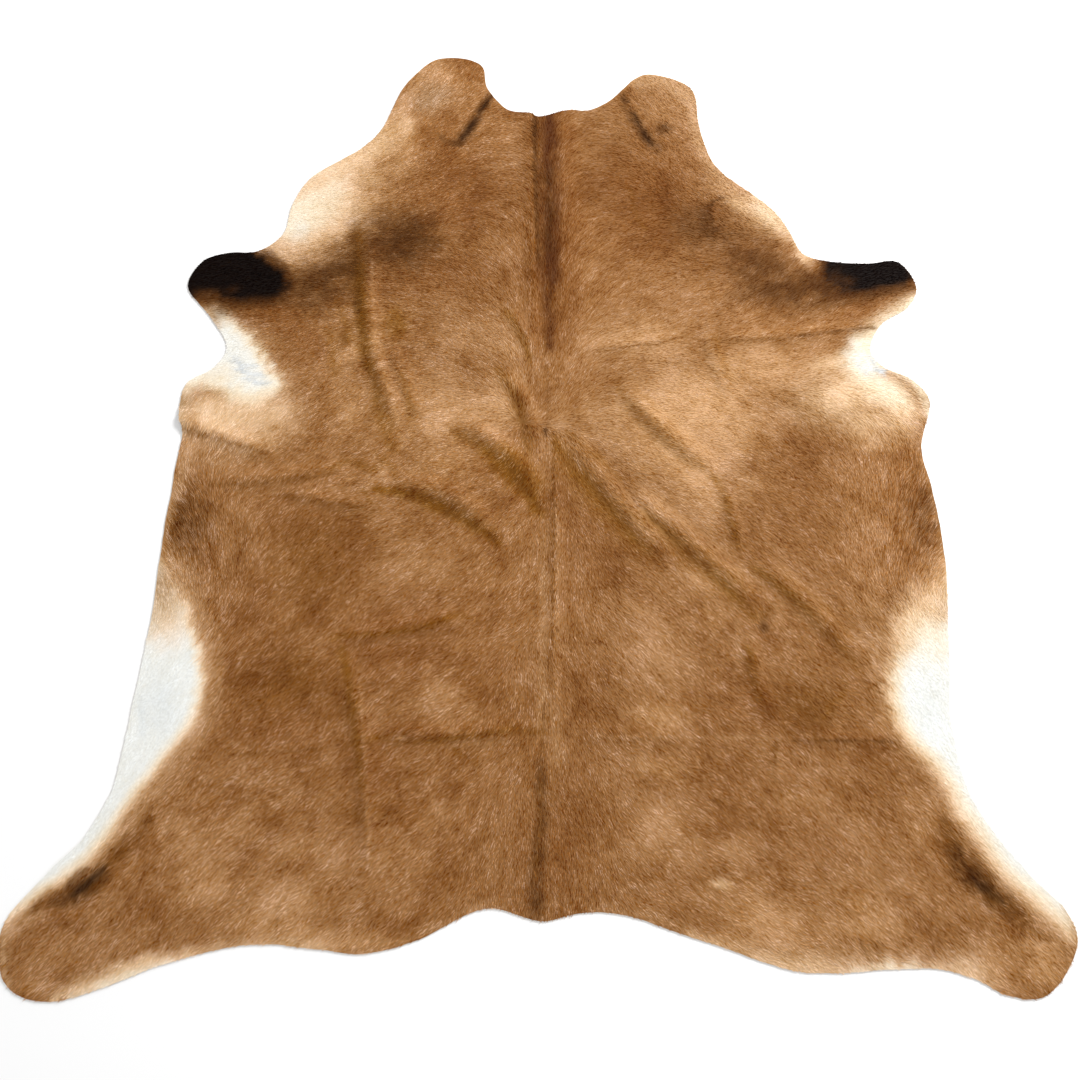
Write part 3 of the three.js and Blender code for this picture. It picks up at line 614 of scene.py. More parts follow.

# Along the folds of the left side, an amber side where the nap opens, which is also painted
# shade, gold painted shade beside it, and a paler crest that is a painted highlight:
# columns name, tone, x0, y0, x1, y1, x2, y2, w0, w1, w2, strength, soft.
CREASE_SHADE_AND_HIGHLIGHTS_LEFT = [
    ("crease glow inner L", "gold", -183, 75, -105, 21, -7, -71, 22, 39, 39, 0.55, 1.0),
    ("crease glow sweep L", "gold", -328, -56, -211, -87, -88, -173, 17, 28, 26, 0.40, 1.0),
    ("crease glow shoulder L", "gold", -425, 568, -407, 400, -367, 219, 25, 30, 27, 0.45, 1.0),
    ("crease glow shoulder L low", "gold", -368, 234, -336, 127, -311, 37, 26, 29, 22, 0.40, 1.0),
    ("crease glow withers L", "gold", -86, 224, -50, 151, -18, 56, 18, 29, 22, 0.40, 1.0),
    ("crease glow loin L", "gold", -400, -409, -374, -512, -350, -671, 20, 24, 16, 0.45, 1.0),
    ("crease shoulder L a", "amber", -418, 568, -407, 400, -383, 237, 23, 21, 18, 0.80, 0.9),
    ("crease shoulder L b", "amber", -377, 237, -350, 127, -322, 39, 18, 22, 20, 0.50, 0.9),
    ("crease shoulder L core", "umber", -427, 557, -422, 465, -410, 369, 14, 21, 14, 0.55, 1.0),
    ("crest shoulder L a", "light", -380, 499, -372, 375, -363, 286, 6, 6, 6, 0.35, 1.0),
    ("crest shoulder L b", "light", -347, 229, -316, 127, -296, 42, 8, 9, 8, 0.55, 1.0),
    ("crease shoulder L twin", "amber", -300, 212, -283, 127, -272, 56, 15, 18, 12, 0.45, 1.0),
    ("crease loin L a", "amber", -402, -405, -379, -492, -372, -544, 14, 16, 11, 0.80, 1.0),
    ("crease loin L b", "amber", -372, -544, -356, -622, -345, -690, 11, 8, 7, 0.60, 1.0),
    ("crest loin L", "tan", -366, -430, -346, -592, -331, -738, 5, 5, 5, 0.45, 1.0),
    ("crest loin L low", "light", -335, -732, -324, -804, -317, -867, 5, 7, 5, 0.50, 1.0),
    ("crease sweep L a", "amber", -350, -58, -285, -71, -215, -99, 13, 19, 22, 1.00, 0.9),
    ("crease sweep L b", "amber", -215, -99, -150, -133, -86, -177, 21, 21, 15, 1.00, 0.9),
    ("crease sweep L core", "umber", -219, -101, -154, -130, -94, -170, 9, 15, 11, 0.30, 1.0),
    ("crest sweep L", "light", -334, -37, -255, -51, -164, -96, 6, 9, 6, 0.50, 1.0),
    ("crease inner L a", "amber", -190, 87, -150, 56, -110, 28, 11, 20, 22, 0.35, 1.0),
    ("crease inner L b", "amber", -118, 23, -55, -35, 10, -103, 22, 28, 22, 1.00, 0.9),
    ("crease inner L gold", "amber", -84, 42, -40, 9, -1, -46, 17, 26, 22, 0.55, 1.0),
    ("crease inner L core", "umber", -66, -23, -27, -60, 8, -99, 9, 17, 13, 0.45, 1.0),
    ("crest inner L low", "light", -149, 28, -100, -23, -57, -74, 6, 8, 6, 0.15, 1.0),
    ("crest inner L", "light", -173, 108, -106, 61, -40, -9, 6, 7, 6, 0.15, 1.0),
    ("crease withers L a", "amber", -76, 369, -46, 319, -19, 244, 15, 15, 12, 0.80, 1.0),
    ("crease withers L b", "amber", -90, 219, -54, 161, -40, 103, 12, 18, 18, 0.50, 1.0),
    ("crease withers L c", "amber", -40, 103, -29, 61, -14, 23, 15, 12, 9, 0.35, 1.0),
    ("crest withers L", "tan", -48, 229, -19, 161, -1, 56, 6, 8, 6, 0.50, 1.0),
]

# Along the folds of the right side, an amber side where the nap opens, which is also painted
# shade, gold painted shade beside it, and a paler crest that is a painted highlight:
# columns name, tone, x0, y0, x1, y1, x2, y2, w0, w1, w2, strength, soft.
CREASE_SHADE_AND_HIGHLIGHTS_RIGHT = [
    ("crease glow right near", "gold", 39, 56, 105, -51, 225, -208, 30, 52, 39, 0.55, 1.0),
    ("crease glow right long", "gold", 167, -83, 300, -190, 440, -329, 21, 32, 30, 0.45, 1.0),
    ("crease glow ribs R", "gold", 181, 190, 256, 80, 363, -14, 18, 29, 22, 0.40, 1.0),
    ("crease glow flank R", "gold", 450, -239, 545, -312, 654, -447, 17, 25, 17, 0.35, 1.0),
    # These four gold strokes are painted shade on the slopes of the folds that the key light catches.
    ("crease glow long side", "gold", 276, -146, 366, -221, 454, -299, 15, 19, 15, 0.40, 1.0),
    ("crease glow ribs side", "gold", 217, 175, 255, 132, 302, 75, 13, 18, 13, 0.40, 1.0),
    ("crease glow flank side", "gold", 516, -247, 587, -316, 655, -397, 12, 17, 12, 0.35, 1.0),
    ("crease glow near side", "gold", 82, 47, 134, -14, 188, -83, 13, 15, 13, 0.30, 1.0),
    ("crease right near a", "amber", 36, 56, 62, 4, 96, -37, 13, 20, 22, 0.90, 1.0),
    ("crease right near b", "amber", 96, -37, 147, -101, 203, -173, 21, 21, 17, 0.70, 1.0),
    ("crease right near c", "amber", 203, -173, 240, -206, 264, -239, 17, 15, 11, 0.25, 1.0),
    ("crease right upper", "amber", 61, 75, 117, 28, 172, -33, 11, 15, 11, 0.45, 1.0),
    ("crest right upper", "light", 73, 47, 133, -19, 218, -110, 6, 8, 6, 0.15, 1.0),
    ("crest right near", "light", 146, -51, 196, -117, 245, -184, 7, 10, 9, 0.50, 1.0),
    ("crease right long a", "amber", 226, -110, 268, -150, 316, -208, 11, 15, 17, 0.50, 1.0),
    ("crease right long b", "amber", 320, -208, 385, -273, 444, -334, 17, 17, 15, 0.55, 1.0),
    ("crest right long", "light", 248, -150, 283, -201, 335, -260, 8, 11, 8, 0.50, 1.0),
    ("crest right long upper", "light", 318, -173, 336, -197, 358, -219, 6, 8, 6, 0.40, 1.0),
    ("crease right low", "brown", 78, -184, 171, -260, 270, -325, 28, 40, 23, 0.35, 1.0),
    ("crease ribs R a", "amber", 177, 185, 211, 127, 249, 70, 15, 21, 21, 0.10, 1.0),
    ("crease ribs R b", "amber", 249, 70, 300, 21, 357, -14, 20, 20, 13, 0.15, 0.9),
    ("crest ribs R", "light", 217, 171, 276, 84, 351, 14, 7, 9, 6, 0.05, 1.0),
    ("crease ribs R tail", "amber", 376, -28, 406, -101, 419, -190, 12, 17, 12, 0.60, 1.0),
    ("crease flank R a", "amber", 450, -234, 506, -278, 560, -334, 14, 17, 10, 0.55, 1.0),
    ("crease flank R b", "amber", 595, -376, 632, -420, 662, -455, 13, 13, 8, 0.12, 1.0),
    ("crest flank R", "tan", 528, -256, 586, -321, 643, -388, 6, 6, 6, 0.03, 1.0),
    ("crease loin R", "amber", 428, -405, 437, -455, 446, -512, 11, 17, 11, 0.55, 1.0),
    ("crest loin R", "tan", 408, -346, 410, -430, 405, -512, 7, 7, 6, 0.40, 1.0),
    ("crease loin R arc", "amber", 626, -463, 613, -500, 577, -544, 8, 11, 8, 0.50, 1.0),
]

# Along the old packing folds and smaller creases of the left side, painted shade in the
# crease lines and painted highlights on their crests, with the pale rims of the cut edge
# and a few marks: columns name, tone, x0, y0, x1, y1, x2, y2, w0, w1, w2, strength, soft.
FOLD_SHADE_HIGHLIGHTS_AND_RIMS_LEFT = [
    ("cheek rim left", "cream", -558, 706, -569, 624, -588, 568, 47, 38, 23, 0.70, 0.9),
    ("rump rim left", "peach", -804, -1056, -621, -996, -395, -986, 38, 42, 28, 0.75, 1.0),
    ("left foot rim", "peach", -903, -1073, -828, -1039, -660, -989, 15, 41, 23, 0.85, 1.0),
    ("left foot rim cream", "cream", -873, -1070, -816, -1049, -692, -1007, 13, 24, 13, 1.00, 1.0),
    ("rump rim left inner", "tan", -315, -989, -206, -954, -112, -911, 27, 23, 19, 0.50, 0.9),
    ("flank rim left", "tan", -761, 47, -787, -83, -797, -230, 34, 26, 26, 0.80, 0.9),
    ("elbow rim left", "cream", -693, 219, -783, 180, -782, 80, 36, 40, 27, 0.45, 0.9),
    ("foreleg rim left", "tan", -771, 385, -742, 362, -723, 334, 16, 20, 20, 0.50, 0.9),
    ("low fold L a", "amber", -350, -586, -269, -594, -197, -590, 4, 8, 11, 0.70, 1.0),
    ("low fold L b", "amber", -197, -590, -89, -578, 20, -574, 11, 12, 8, 0.80, 1.0),
    ("low fold L spot", "amber", -67, -568, -49, -566, -29, -570, 14, 16, 11, 0.50, 1.0),
    ("low fold L crest", "tan", -197, -602, -97, -596, 14, -586, 4, 5, 4, 0.40, 1.0),
    ("low fold far L", "deep", -775, -630, -576, -618, -333, -596, 4, 5, 4, 0.55, 0.8),
    ("low fold spur", "amber", -169, -608, -144, -626, -116, -643, 11, 11, 8, 0.40, 1.0),
    ("mid fold L a", "amber", -426, -382, -385, -376, -335, -376, 11, 14, 8, 0.60, 1.0),
    ("mid fold L b", "amber", -335, -376, -245, -363, -187, -342, 8, 11, 11, 0.75, 1.0),
    ("mid fold L c", "amber", -187, -342, -158, -338, -121, -344, 14, 11, 6, 0.55, 1.0),
    ("mid fold L crest", "tan", -326, -391, -265, -388, -203, -372, 4, 4, 4, 0.30, 1.0),
    ("elbow crease L", "deep", -785, 87, -708, 61, -589, 25, 9, 9, 7, 0.50, 1.0),
    ("elbow crest L", "tan", -776, 70, -706, 42, -628, 21, 6, 7, 6, 0.60, 1.0),
    ("rib crease L a", "deep", -709, -46, -622, -46, -536, -39, 9, 12, 12, 0.60, 1.0),
    ("rib crease L b", "deep", -536, -39, -483, -30, -434, -21, 12, 12, 6, 0.65, 1.0),
    ("rib crest L", "tan", -578, -65, -492, -65, -402, -51, 4, 6, 4, 0.40, 1.0),
    ("rib crease L low", "deep", -549, -74, -469, -87, -374, -99, 6, 9, 6, 0.70, 1.0),
    ("rib knot", "light", -380, -60, -355, -42, -330, -14, 9, 12, 9, 0.45, 1.0),
    ("rib knot dark", "amber", -387, 4, -361, -14, -335, 4, 12, 15, 12, 0.50, 1.0),
    ("rib knot a", "amber", -354, 28, -322, 4, -303, -33, 11, 15, 9, 0.40, 1.0),
    ("rib knot b", "amber", -452, -14, -418, 4, -383, -5, 9, 11, 9, 0.50, 1.0),
    ("rib knot c", "amber", -402, -46, -371, -65, -357, -96, 6, 9, 6, 0.50, 1.0),
    ("rib knot crest a", "light", -432, -56, -403, -35, -360, -30, 5, 6, 5, 0.50, 1.0),
    ("rib knot crest b", "light", -373, 56, -351, 14, -329, -33, 4, 5, 4, 0.50, 1.0),
    ("rib drop", "deep", -358, -78, -341, -150, -343, -304, 11, 23, 23, 0.22, 1.0),
    ("upper fold L", "tan", -388, 289, -312, 289, -235, 291, 5, 6, 5, 0.50, 1.0),
    ("left armpit crease", "amber", -471, 324, -460, 279, -452, 219, 20, 20, 25, 0.45, 1.0),
    ("left amber web", "amber", -453, 400, -437, 349, -420, 294, 15, 18, 12, 0.45, 1.0),
    ("rump dash L", "deep", -378, -728, -362, -738, -342, -749, 5, 7, 5, 0.40, 1.0),
    ("bottom crease L", "deep", -499, -905, -495, -936, -494, -975, 3, 3, 3, 0.40, 0.7),
    ("left scratch", "deep", -245, 624, -225, 584, -228, 530, 7, 9, 7, 0.30, 0.8),
]

# Along the old packing folds and smaller creases of the right side, painted shade in the
# crease lines and painted highlights on their crests, with the pale rims of the cut edge
# and a few marks: columns name, tone, x0, y0, x1, y1, x2, y2, w0, w1, w2, strength, soft.
FOLD_SHADE_HIGHLIGHTS_AND_RIMS_RIGHT = [
    ("cheek rim right", "peach", 477, 698, 571, 624, 617, 515, 38, 42, 33, 0.85, 0.9),
    ("lobe rim right", "tan", 229, 1006, 327, 995, 385, 918, 44, 49, 39, 1.00, 0.9),
    ("rump rim right", "peach", 288, -975, 513, -1026, 805, -1025, 41, 72, 64, 0.85, 1.0),
    ("rump rim right inner", "tan", 118, -918, 214, -929, 308, -972, 23, 27, 27, 0.50, 0.9),
    ("flank rim right", "tan", 834, 9, 858, -128, 856, -260, 17, 17, 21, 0.50, 0.9),
    ("elbow rim right", "cream", 773, 234, 842, 190, 856, 118, 27, 31, 18, 0.85, 1.0),
    ("foreleg rim right", "cream", 862, 400, 782, 334, 736, 274, 36, 59, 59, 0.90, 1.0),
    # Painted shade on the lit slope of the long right fold.
    ("slope right long", "brown", 348, -168, 376, -199, 404, -226, 15, 17, 13, 0.40, 1.0),
    ("low fold mid", "tan", 68, -582, 285, -584, 525, -590, 4, 4, 3, 0.55, 0.8),
    ("low fold R", "umber", 505, -592, 625, -592, 746, -594, 4, 4, 4, 0.65, 0.8),
    ("upper fold mid", "deep", 120, 271, 219, 281, 328, 304, 4, 7, 4, 0.50, 1.0),
    ("upper fold R a", "deep", 364, 296, 477, 294, 590, 306, 6, 8, 6, 0.60, 1.0),
    ("upper fold R b", "umber", 590, 306, 672, 316, 759, 329, 8, 8, 6, 0.60, 1.0),
    ("upper fold R crest", "light", 365, 311, 500, 311, 706, 344, 5, 5, 5, 0.40, 1.0),
    ("shoulder crease R", "umber", 433, 673, 403, 651, 399, 600, 5, 7, 6, 0.80, 1.0),
    ("shoulder crease R foot", "umber", 398, 594, 407, 584, 416, 576, 6, 16, 13, 0.80, 1.0),
    ("shoulder low R", "amber", 396, 304, 411, 244, 422, 195, 15, 21, 15, 0.50, 1.0),
    ("shoulder low crest R", "light", 372, 324, 389, 249, 408, 175, 6, 8, 6, 0.50, 1.0),
    ("shoulder drop R", "deep", 392, 499, 396, 400, 411, 324, 16, 18, 16, 0.30, 1.0),
    ("rump vertical R", "deep", 475, -596, 466, -632, 468, -671, 7, 9, 5, 0.70, 1.0),
    ("rump diagonal R", "amber", 495, -686, 486, -698, 473, -711, 5, 8, 5, 0.60, 1.0),
    ("rump dash R", "deep", 335, -705, 351, -709, 375, -705, 5, 8, 5, 0.65, 1.0),
    ("bottom crease R", "deep", 607, -961, 618, -989, 630, -1021, 3, 4, 4, 0.60, 0.7),
]

# Which way the hair lies, root to tip, in degrees from +X: columns name, x, y,
# pointing.
LIE_NECK = [
    ("left mane", -135, 480, 143),
    ("left cheek", -535, 610, 192),
    ("left neck low", -345, 585, 198),
    ("left neck", -230, 665, 217),
    ("left neck inner", -80, 690, 180),
    ("left throat", -380, 760, 210),
    ("left lobe", -275, 905, 231),
    ("left lobe top", -215, 1005, 228),
    ("neck left top", -80, 860, 212),
    ("mane", 25, 640, 86),
    ("mane top", 25, 845, 85),
    ("neck right top", 125, 875, 342),
    ("neck right", 155, 690, 355),
    ("right mane", 155, 480, 37),
    ("right lobe", 270, 920, 312),
    ("right neck", 315, 750, 312),
    ("right throat", 460, 650, 325),
    ("right neck low", 235, 555, 9),
    ("right shoulder top", 375, 530, 351),
    ("right shoulder whorl", 510, 480, 34),
    ("right foreleg", 760, 450, 9),
]
LIE_SHOULDERS = [
    ("left elbow", -755, 80, 250),
    ("left elbow inner", -590, 80, 226),
    ("left shoulder low", -345, 80, 217),
    ("left withers low", -150, 80, 197),
    ("left armpit", -680, 270, 203),
    ("left armpit inner", -535, 250, 220),
    ("left shoulder", -335, 250, 202),
    ("left withers", -130, 275, 158),
    ("left foreleg tip", -765, 425, 198),
    ("left foreleg", -615, 425, 185),
    ("left foreleg root", -455, 425, 189),
    ("left shoulder top", -270, 425, 178),
    ("withers", 30, 250, 92),
    ("mane low", 25, 425, 92),
    ("withers foot", 30, 145, 64),
    ("right withers", 150, 275, 13),
    ("right withers low", 160, 105, 347),
    ("right shoulder", 365, 350, 22),
    ("right foreleg root", 595, 400, 32),
    ("right foreleg under", 730, 335, 31),
    ("right armpit", 765, 250, 351),
    ("right armpit inner", 630, 235, 19),
    ("right shoulder mid", 340, 200, 343),
    ("right shoulder low", 445, 150, 333),
    ("right elbow", 620, 125, 309),
    ("right elbow edge", 810, 125, 315),
]
LIE_RIBS = [
    ("left back", -205, -305, 220),
    ("back left of spine", -65, -305, 224),
    ("spine", 25, -215, 271),
    ("spine knot", 25, 30, 268),
    ("left flank whorl", -695, -280, 255),
    ("left flank whorl top", -710, -150, 272),
    ("left flank edge", -760, -215, 321),
    ("left flank edge high", -785, -85, 317),
    ("left ribs", -500, -240, 228),
    ("left ribs high", -580, -35, 230),
    ("left ribs inner", -300, -35, 208),
    ("back left high", -80, -85, 220),
    ("right ribs high", 350, 30, 336),
    ("right ribs", 565, -35, 323),
    ("right flank", 710, -35, 274),
    ("right flank edge", 835, -35, 235),
    ("right flank edge low", 830, -205, 217),
    ("right flank low", 745, -195, 278),
    ("right back high", 155, -85, 316),
    ("right back", 235, -260, 315),
    ("right ribs low", 530, -240, 315),
    ("right belly high", 765, -325, 303),
]
LIE_LOIN = [
    ("left groin", -775, -630, 236),
    ("left haunch", -475, -630, 222),
    ("left loin", -425, -430, 224),
    ("left back low", -200, -550, 218),
    ("tail left", -65, -590, 230),
    ("spine low", 15, -550, 272),
    ("left belly", -760, -490, 240),
    ("left belly high", -705, -390, 232),
    ("right belly", 815, -510, 297),
    ("right loin", 450, -490, 317),
    ("right flank foot", 660, -430, 316),
    ("right back low", 165, -550, 316),
    ("tail right high", 70, -470, 299),
]
LIE_RUMP = [
    ("left hind leg", -905, -995, 230),
    ("left shank", -810, -860, 233),
    ("left thigh", -600, -785, 223),
    ("left rump", -400, -895, 222),
    ("left rump inner", -210, -805, 222),
    ("tail left low", -60, -825, 254),
    ("tail", 5, -860, 272),
    ("tail right", 70, -745, 294),
    ("right rump", 275, -805, 319),
    ("right haunch", 515, -710, 314),
    ("right rump low", 460, -950, 329),
    ("right thigh", 710, -745, 311),
    ("right groin", 815, -690, 309),
    ("right shank", 815, -860, 311),
    ("right hind leg", 925, -985, 312),
    ("right thigh low", 650, -985, 315),
]
HAIR_LIE = LIE_NECK + LIE_SHOULDERS + LIE_RIBS + LIE_LOIN + LIE_RUMP


# Where the hair is longer: columns name, x, y, rx, ry, times.
LONG_HAIR = [
    ("left flank", -745, -130, 102, 202, 1.70),
    ("left belly side", -665, -390, 83, 147, 1.35),
    ("right flank", 800, -150, 111, 246, 1.70),
    ("right belly side", 725, -410, 74, 146, 1.35),
    ("left elbow", -690, 115, 132, 120, 1.30),
    ("right elbow", 775, 140, 133, 120, 1.30),
    ("left shank", -835, -805, 117, 112, 1.25),
    ("right shank", 850, -805, 117, 112, 1.25),
    ("mane", 30, 585, 61, 295, 1.35),
]

# The cut edge, the folds and the swells, as in the part's source.

# Landmarks on the cut edge: columns x, y.

NECK_LEFT = [
    (-4, 898),  # neck notch
    (-16, 907),  # notch shoulder
    (-74, 918),  # neck edge
    (-124, 980),  # lobe root
    (-144, 1051),  # lobe inner side
    (-246, 1067),  # lobe tip
    (-324, 992),  # lobe outer side
    (-377, 861),  # cheek hollow
    (-428, 804),  # cheek
    (-542, 720),  # throat
    (-578, 651),  # throat corner
    (-595, 570),  # chest
]

FORELEG_LEFT = [
    (-650, 525),  # leg root
    (-724, 521),  # leg top
    (-775, 499),  # leg bend
    (-803, 436),  # leg tip
    (-738, 349),  # leg underside
    (-700, 276),  # armpit
    (-727, 227),  # armpit exit
]

FLANK_LEFT = [
    (-782, 190),  # elbow flap top
    (-788, 103),  # elbow flap side
    (-780, 82),  # nick
    (-786, -12),  # rib edge
    (-796, -157),  # flank edge
    (-802, -323),  # belly edge
    (-819, -506),  # belly low
    (-836, -655),  # groin
    (-839, -680),  # groin step
]

HIND_LEG_LEFT = [
    (-884, -776),  # thigh edge
    (-952, -850),  # shank edge
    (-1022, -948),  # tip upper corner
    (-1010, -1033),  # tip outer corner
    (-969, -1068),  # tip lower corner
    (-901, -1075),  # tip underside
    (-803, -1047),  # shank underside
    (-720, -1014),  # thigh underside
]

RUMP_LEFT = [
    (-585, -981),  # leg root low
    (-506, -975),  # rump swell
    (-452, -981),  # rump dip
    (-319, -991),  # rump low
    (-225, -966),  # rump rise
    (-98, -911),  # tail side
]

RUMP_RIGHT = [
    (7, -934),  # tail root
    (74, -921),  # tail side
    (147, -920),  # rump rise
    (302, -966),  # rump slope
    (488, -1023),  # rump low
    (563, -1026),  # rump dip
]

HIND_LEG_RIGHT = [
    (749, -1019),  # leg root low
    (824, -1037),  # shank underside
    (875, -1065),  # tip underside
    (948, -1068),  # tip lower corner
    (1024, -975),  # tip outer corner
    (1011, -916),  # tip upper corner
    (953, -854),  # shank edge
    (856, -707),  # thigh edge
]

FLANK_RIGHT = [
    (831, -550),  # groin
    (838, -473),  # belly low
    (846, -378),  # belly edge
    (853, -297),  # flank low
    (858, -179),  # flank edge
    (847, -53),  # rib edge
    (834, 35),  # elbow hollow
    (864, 151),  # elbow flap side
]

FORELEG_RIGHT = [
    (830, 200),  # elbow flap top
    (768, 232),  # armpit entry
    (745, 271),  # armpit
    (778, 339),  # leg underside
    (839, 380),  # leg underside tip
    (865, 428),  # leg tip
    (830, 496),  # leg corner
    (756, 494),  # leg top
    (671, 499),  # leg top root
]

NECK_RIGHT = [
    (612, 517),  # chest
    (582, 581),  # throat corner
    (551, 635),  # throat
    (432, 742),  # cheek
    (409, 779),  # cheek hollow
    (387, 869),  # jaw
    (370, 980),  # lobe outer side
    (266, 1021),  # lobe tip
    (234, 1006),  # lobe inner side
    (174, 945),  # lobe root
    (120, 916),  # neck edge
    (74, 918),  # notch shoulder
]

LANDMARKS = (
    NECK_LEFT
    + FORELEG_LEFT
    + FLANK_LEFT
    + HIND_LEG_LEFT
    + RUMP_LEFT
    + RUMP_RIGHT
    + HIND_LEG_RIGHT
    + FLANK_RIGHT
    + FORELEG_RIGHT
    + NECK_RIGHT
)

# Folds: columns name, x0, y0, x1, y1, x2, y2, rise, width, runs off the edge.
FOLDS = [
    ("left shoulder", -398, 600, -372, 290, -278, 30, 9, 34, False),
    ("left shoulder twin", -345, 330, -300, 205, -255, 85, 5, 30, False),
    ("left loin", -398, -400, -352, -590, -318, -880, 7, 32, False),
    ("left sweep", -350, -40, -195, -70, -72, -165, 10, 36, False),
    ("left inner sweep", -190, 105, -82, 40, 22, -78, 9, 34, False),
    ("withers upper", -80, 385, -32, 318, -6, 235, 5, 26, False),
    ("withers lower", -98, 235, -28, 145, -8, 20, 7, 28, False),
    ("right back, near spine", 48, 95, 152, -58, 292, -232, 10, 36, False),
    ("right back, long", 160, -30, 335, -188, 492, -352, 9, 34, False),
    ("right ribs", 170, 200, 290, 62, 405, -30, 10, 36, False),
    ("right ribs tail", 398, -40, 412, -110, 428, -205, 5, 26, False),
    ("right flank outer", 430, -190, 565, -320, 680, -455, 8, 34, False),
    ("right loin drop", 428, -370, 446, -450, 462, -560, 6, 28, False),
    ("left loin cross", -450, -392, -265, -358, -110, -342, 7, 30, False),
    ("left elbow", -800, 106, -668, 56, -560, 18, 9, 34, True),
    ("left ribs upper", -705, -30, -570, -32, -430, 2, 7, 30, False),
    ("left ribs lower", -565, -58, -450, -84, -350, -96, 5, 26, False),
    ("lower packing fold, left", -370, -572, -200, -580, 5, -568, 6, 28, False),
    ("lower packing fold, middle", 60, -576, 190, -582, 320, -584, 3.5, 24, False),
    ("lower packing fold, right", 500, -586, 630, -590, 760, -588, 4, 24, False),
    ("upper packing fold, left", -420, 296, -300, 292, -190, 290, 3.5, 24, False),
    ("upper packing fold, middle", 90, 268, 225, 286, 345, 306, 3.5, 24, False),
    ("upper packing fold, right", 360, 306, 580, 308, 730, 326, 5, 28, False),
    ("right shoulder", 398, 665, 404, 605, 412, 545, 4.5, 26, False),
    ("right shoulder low", 382, 325, 402, 235, 425, 150, 6, 28, False),
    ("spine, left lip", -22, 880, -14, 520, -10, 180, 4, 24, False),
    ("spine, right lip", 42, 120, 36, -230, 30, -640, 4, 24, False),
]

# Swells: columns name, x, y, rx, ry, turn, rise.
SWELLS = [
    ("between right folds", 290, -40, 190, 90, -45, 5),
    ("right flank", 600, -260, 200, 90, -45, 4),
    ("left withers", -190, -20, 170, 90, -35, 5),
    ("left shoulder", -330, 190, 90, 170, -15, 4),
    ("left ribs", -470, -60, 170, 80, 5, 4),
    ("left loin", -300, -480, 150, 110, 0, 3.5),
    ("right elbow", 660, 150, 150, 90, 10, 4),
    ("neck", 180, 720, 150, 110, 20, 3.5),
]

# ----------------------------------------------------------------- the light

WORLD_LIGHT = 0.892
KEY_LIGHT = ((2.6, 2.2, 2.4), 1.6, 225.0)  # where it hangs in m, its size, its power


# Painted in this order, one over the other.
COAT = [
    ("patch", PALER_NECK),
    ("patch", PALER_AND_SHEEN_SHOULDERS),
    ("patch", PALER_AND_SHEEN_RIBS),
    ("patch", PALER_AND_SHEEN_LOIN),
    ("patch", PALER_AND_SHEEN_RUMP),
    ("patch", BROWNER_NECK),
    ("patch", BROWNER_SHOULDERS),
    ("patch", BROWNER_RIBS),
    ("patch", BROWNER_LOIN),
    ("patch", BROWNER_RUMP),
    ("area", CHEEK_TONES),
    ("patch", NECK_PALE),
    ("patch", SHOULDER_DARK),
    ("patch", ARMPITS),
    ("area", ARMPIT_TONES),
    ("patch", FORELEGS),
    ("area", FORELEG_TONES),
    ("stroke", CREASE_SHADE_AND_HIGHLIGHTS_LEFT),
    ("stroke", CREASE_SHADE_AND_HIGHLIGHTS_RIGHT),
    ("stroke", FOLD_SHADE_HIGHLIGHTS_AND_RIMS_LEFT),
    ("stroke", FOLD_SHADE_HIGHLIGHTS_AND_RIMS_RIGHT),
    ("stroke", SPINE),
    ("stroke", NECK_MARKS),
    ("patch", SPOTS),
    ("area", BELLY_TONES),
    ("patch", BELLY),
    ("stroke", LEG_STRIPS),
]


def ease(t):
    t = np.clip(t, 0.0, 1.0)
    return t * t * (3.0 - 2.0 * t)


def noise(p, cell, seed):
    """Smooth noise in -1..1 over points p (n, 2), one random value per cell."""
    size = 256
    table = np.random.default_rng(seed).uniform(-1.0, 1.0, (size, size))
    q = p / cell + 500.37
    i = np.floor(q).astype(int)
    f = q - i
    f = f * f * (3.0 - 2.0 * f)
    x0, y0 = i[:, 0] % size, i[:, 1] % size
    x1, y1 = (x0 + 1) % size, (y0 + 1) % size
    low = table[x0, y0] * (1 - f[:, 0]) + table[x1, y0] * f[:, 0]
    high = table[x0, y1] * (1 - f[:, 0]) + table[x1, y1] * f[:, 0]
    return low * (1 - f[:, 1]) + high * f[:, 1]


def layers(p, cell, seed, count=4, keep=0.55):
    """Noise in octaves, each half as wide as the one before."""
    total, weight, size = 0.0, 0.0, 1.0
    for k in range(count):
        total = total + size * noise(p, cell / 2**k, seed + k)
        weight += size
        size *= keep
    return total / weight


def hair_lie(p):
    """Unit vectors from root to tip at points p, from the table of the lie."""
    spread = 62.0
    at = np.array([(row[1], row[2]) for row in HAIR_LIE], float)
    way = np.radians([row[3] for row in HAIR_LIE])
    out = np.zeros_like(p)
    for start in range(0, len(p), 20000):
        part = p[start : start + 20000]
        d2 = ((part[:, None, :] - at[None]) ** 2).sum(2)
        d2 -= d2.min(1, keepdims=True)
        w = np.exp(-d2 / (2 * spread**2))
        out[start : start + 20000, 0] = w @ np.cos(way)
        out[start : start + 20000, 1] = w @ np.sin(way)
    return out / np.maximum(np.linalg.norm(out, axis=1, keepdims=True), 1e-6)


def patch_cover(p, row):
    name, tone, x, y, rx, ry, turn, strength, soft = row
    c, s = math.cos(math.radians(turn)), math.sin(math.radians(turn))
    dx, dy = p[:, 0] - x, p[:, 1] - y
    d = np.hypot((dx * c + dy * s) / rx, (dy * c - dx * s) / ry)
    return strength * ease((1.0 - d) / soft)


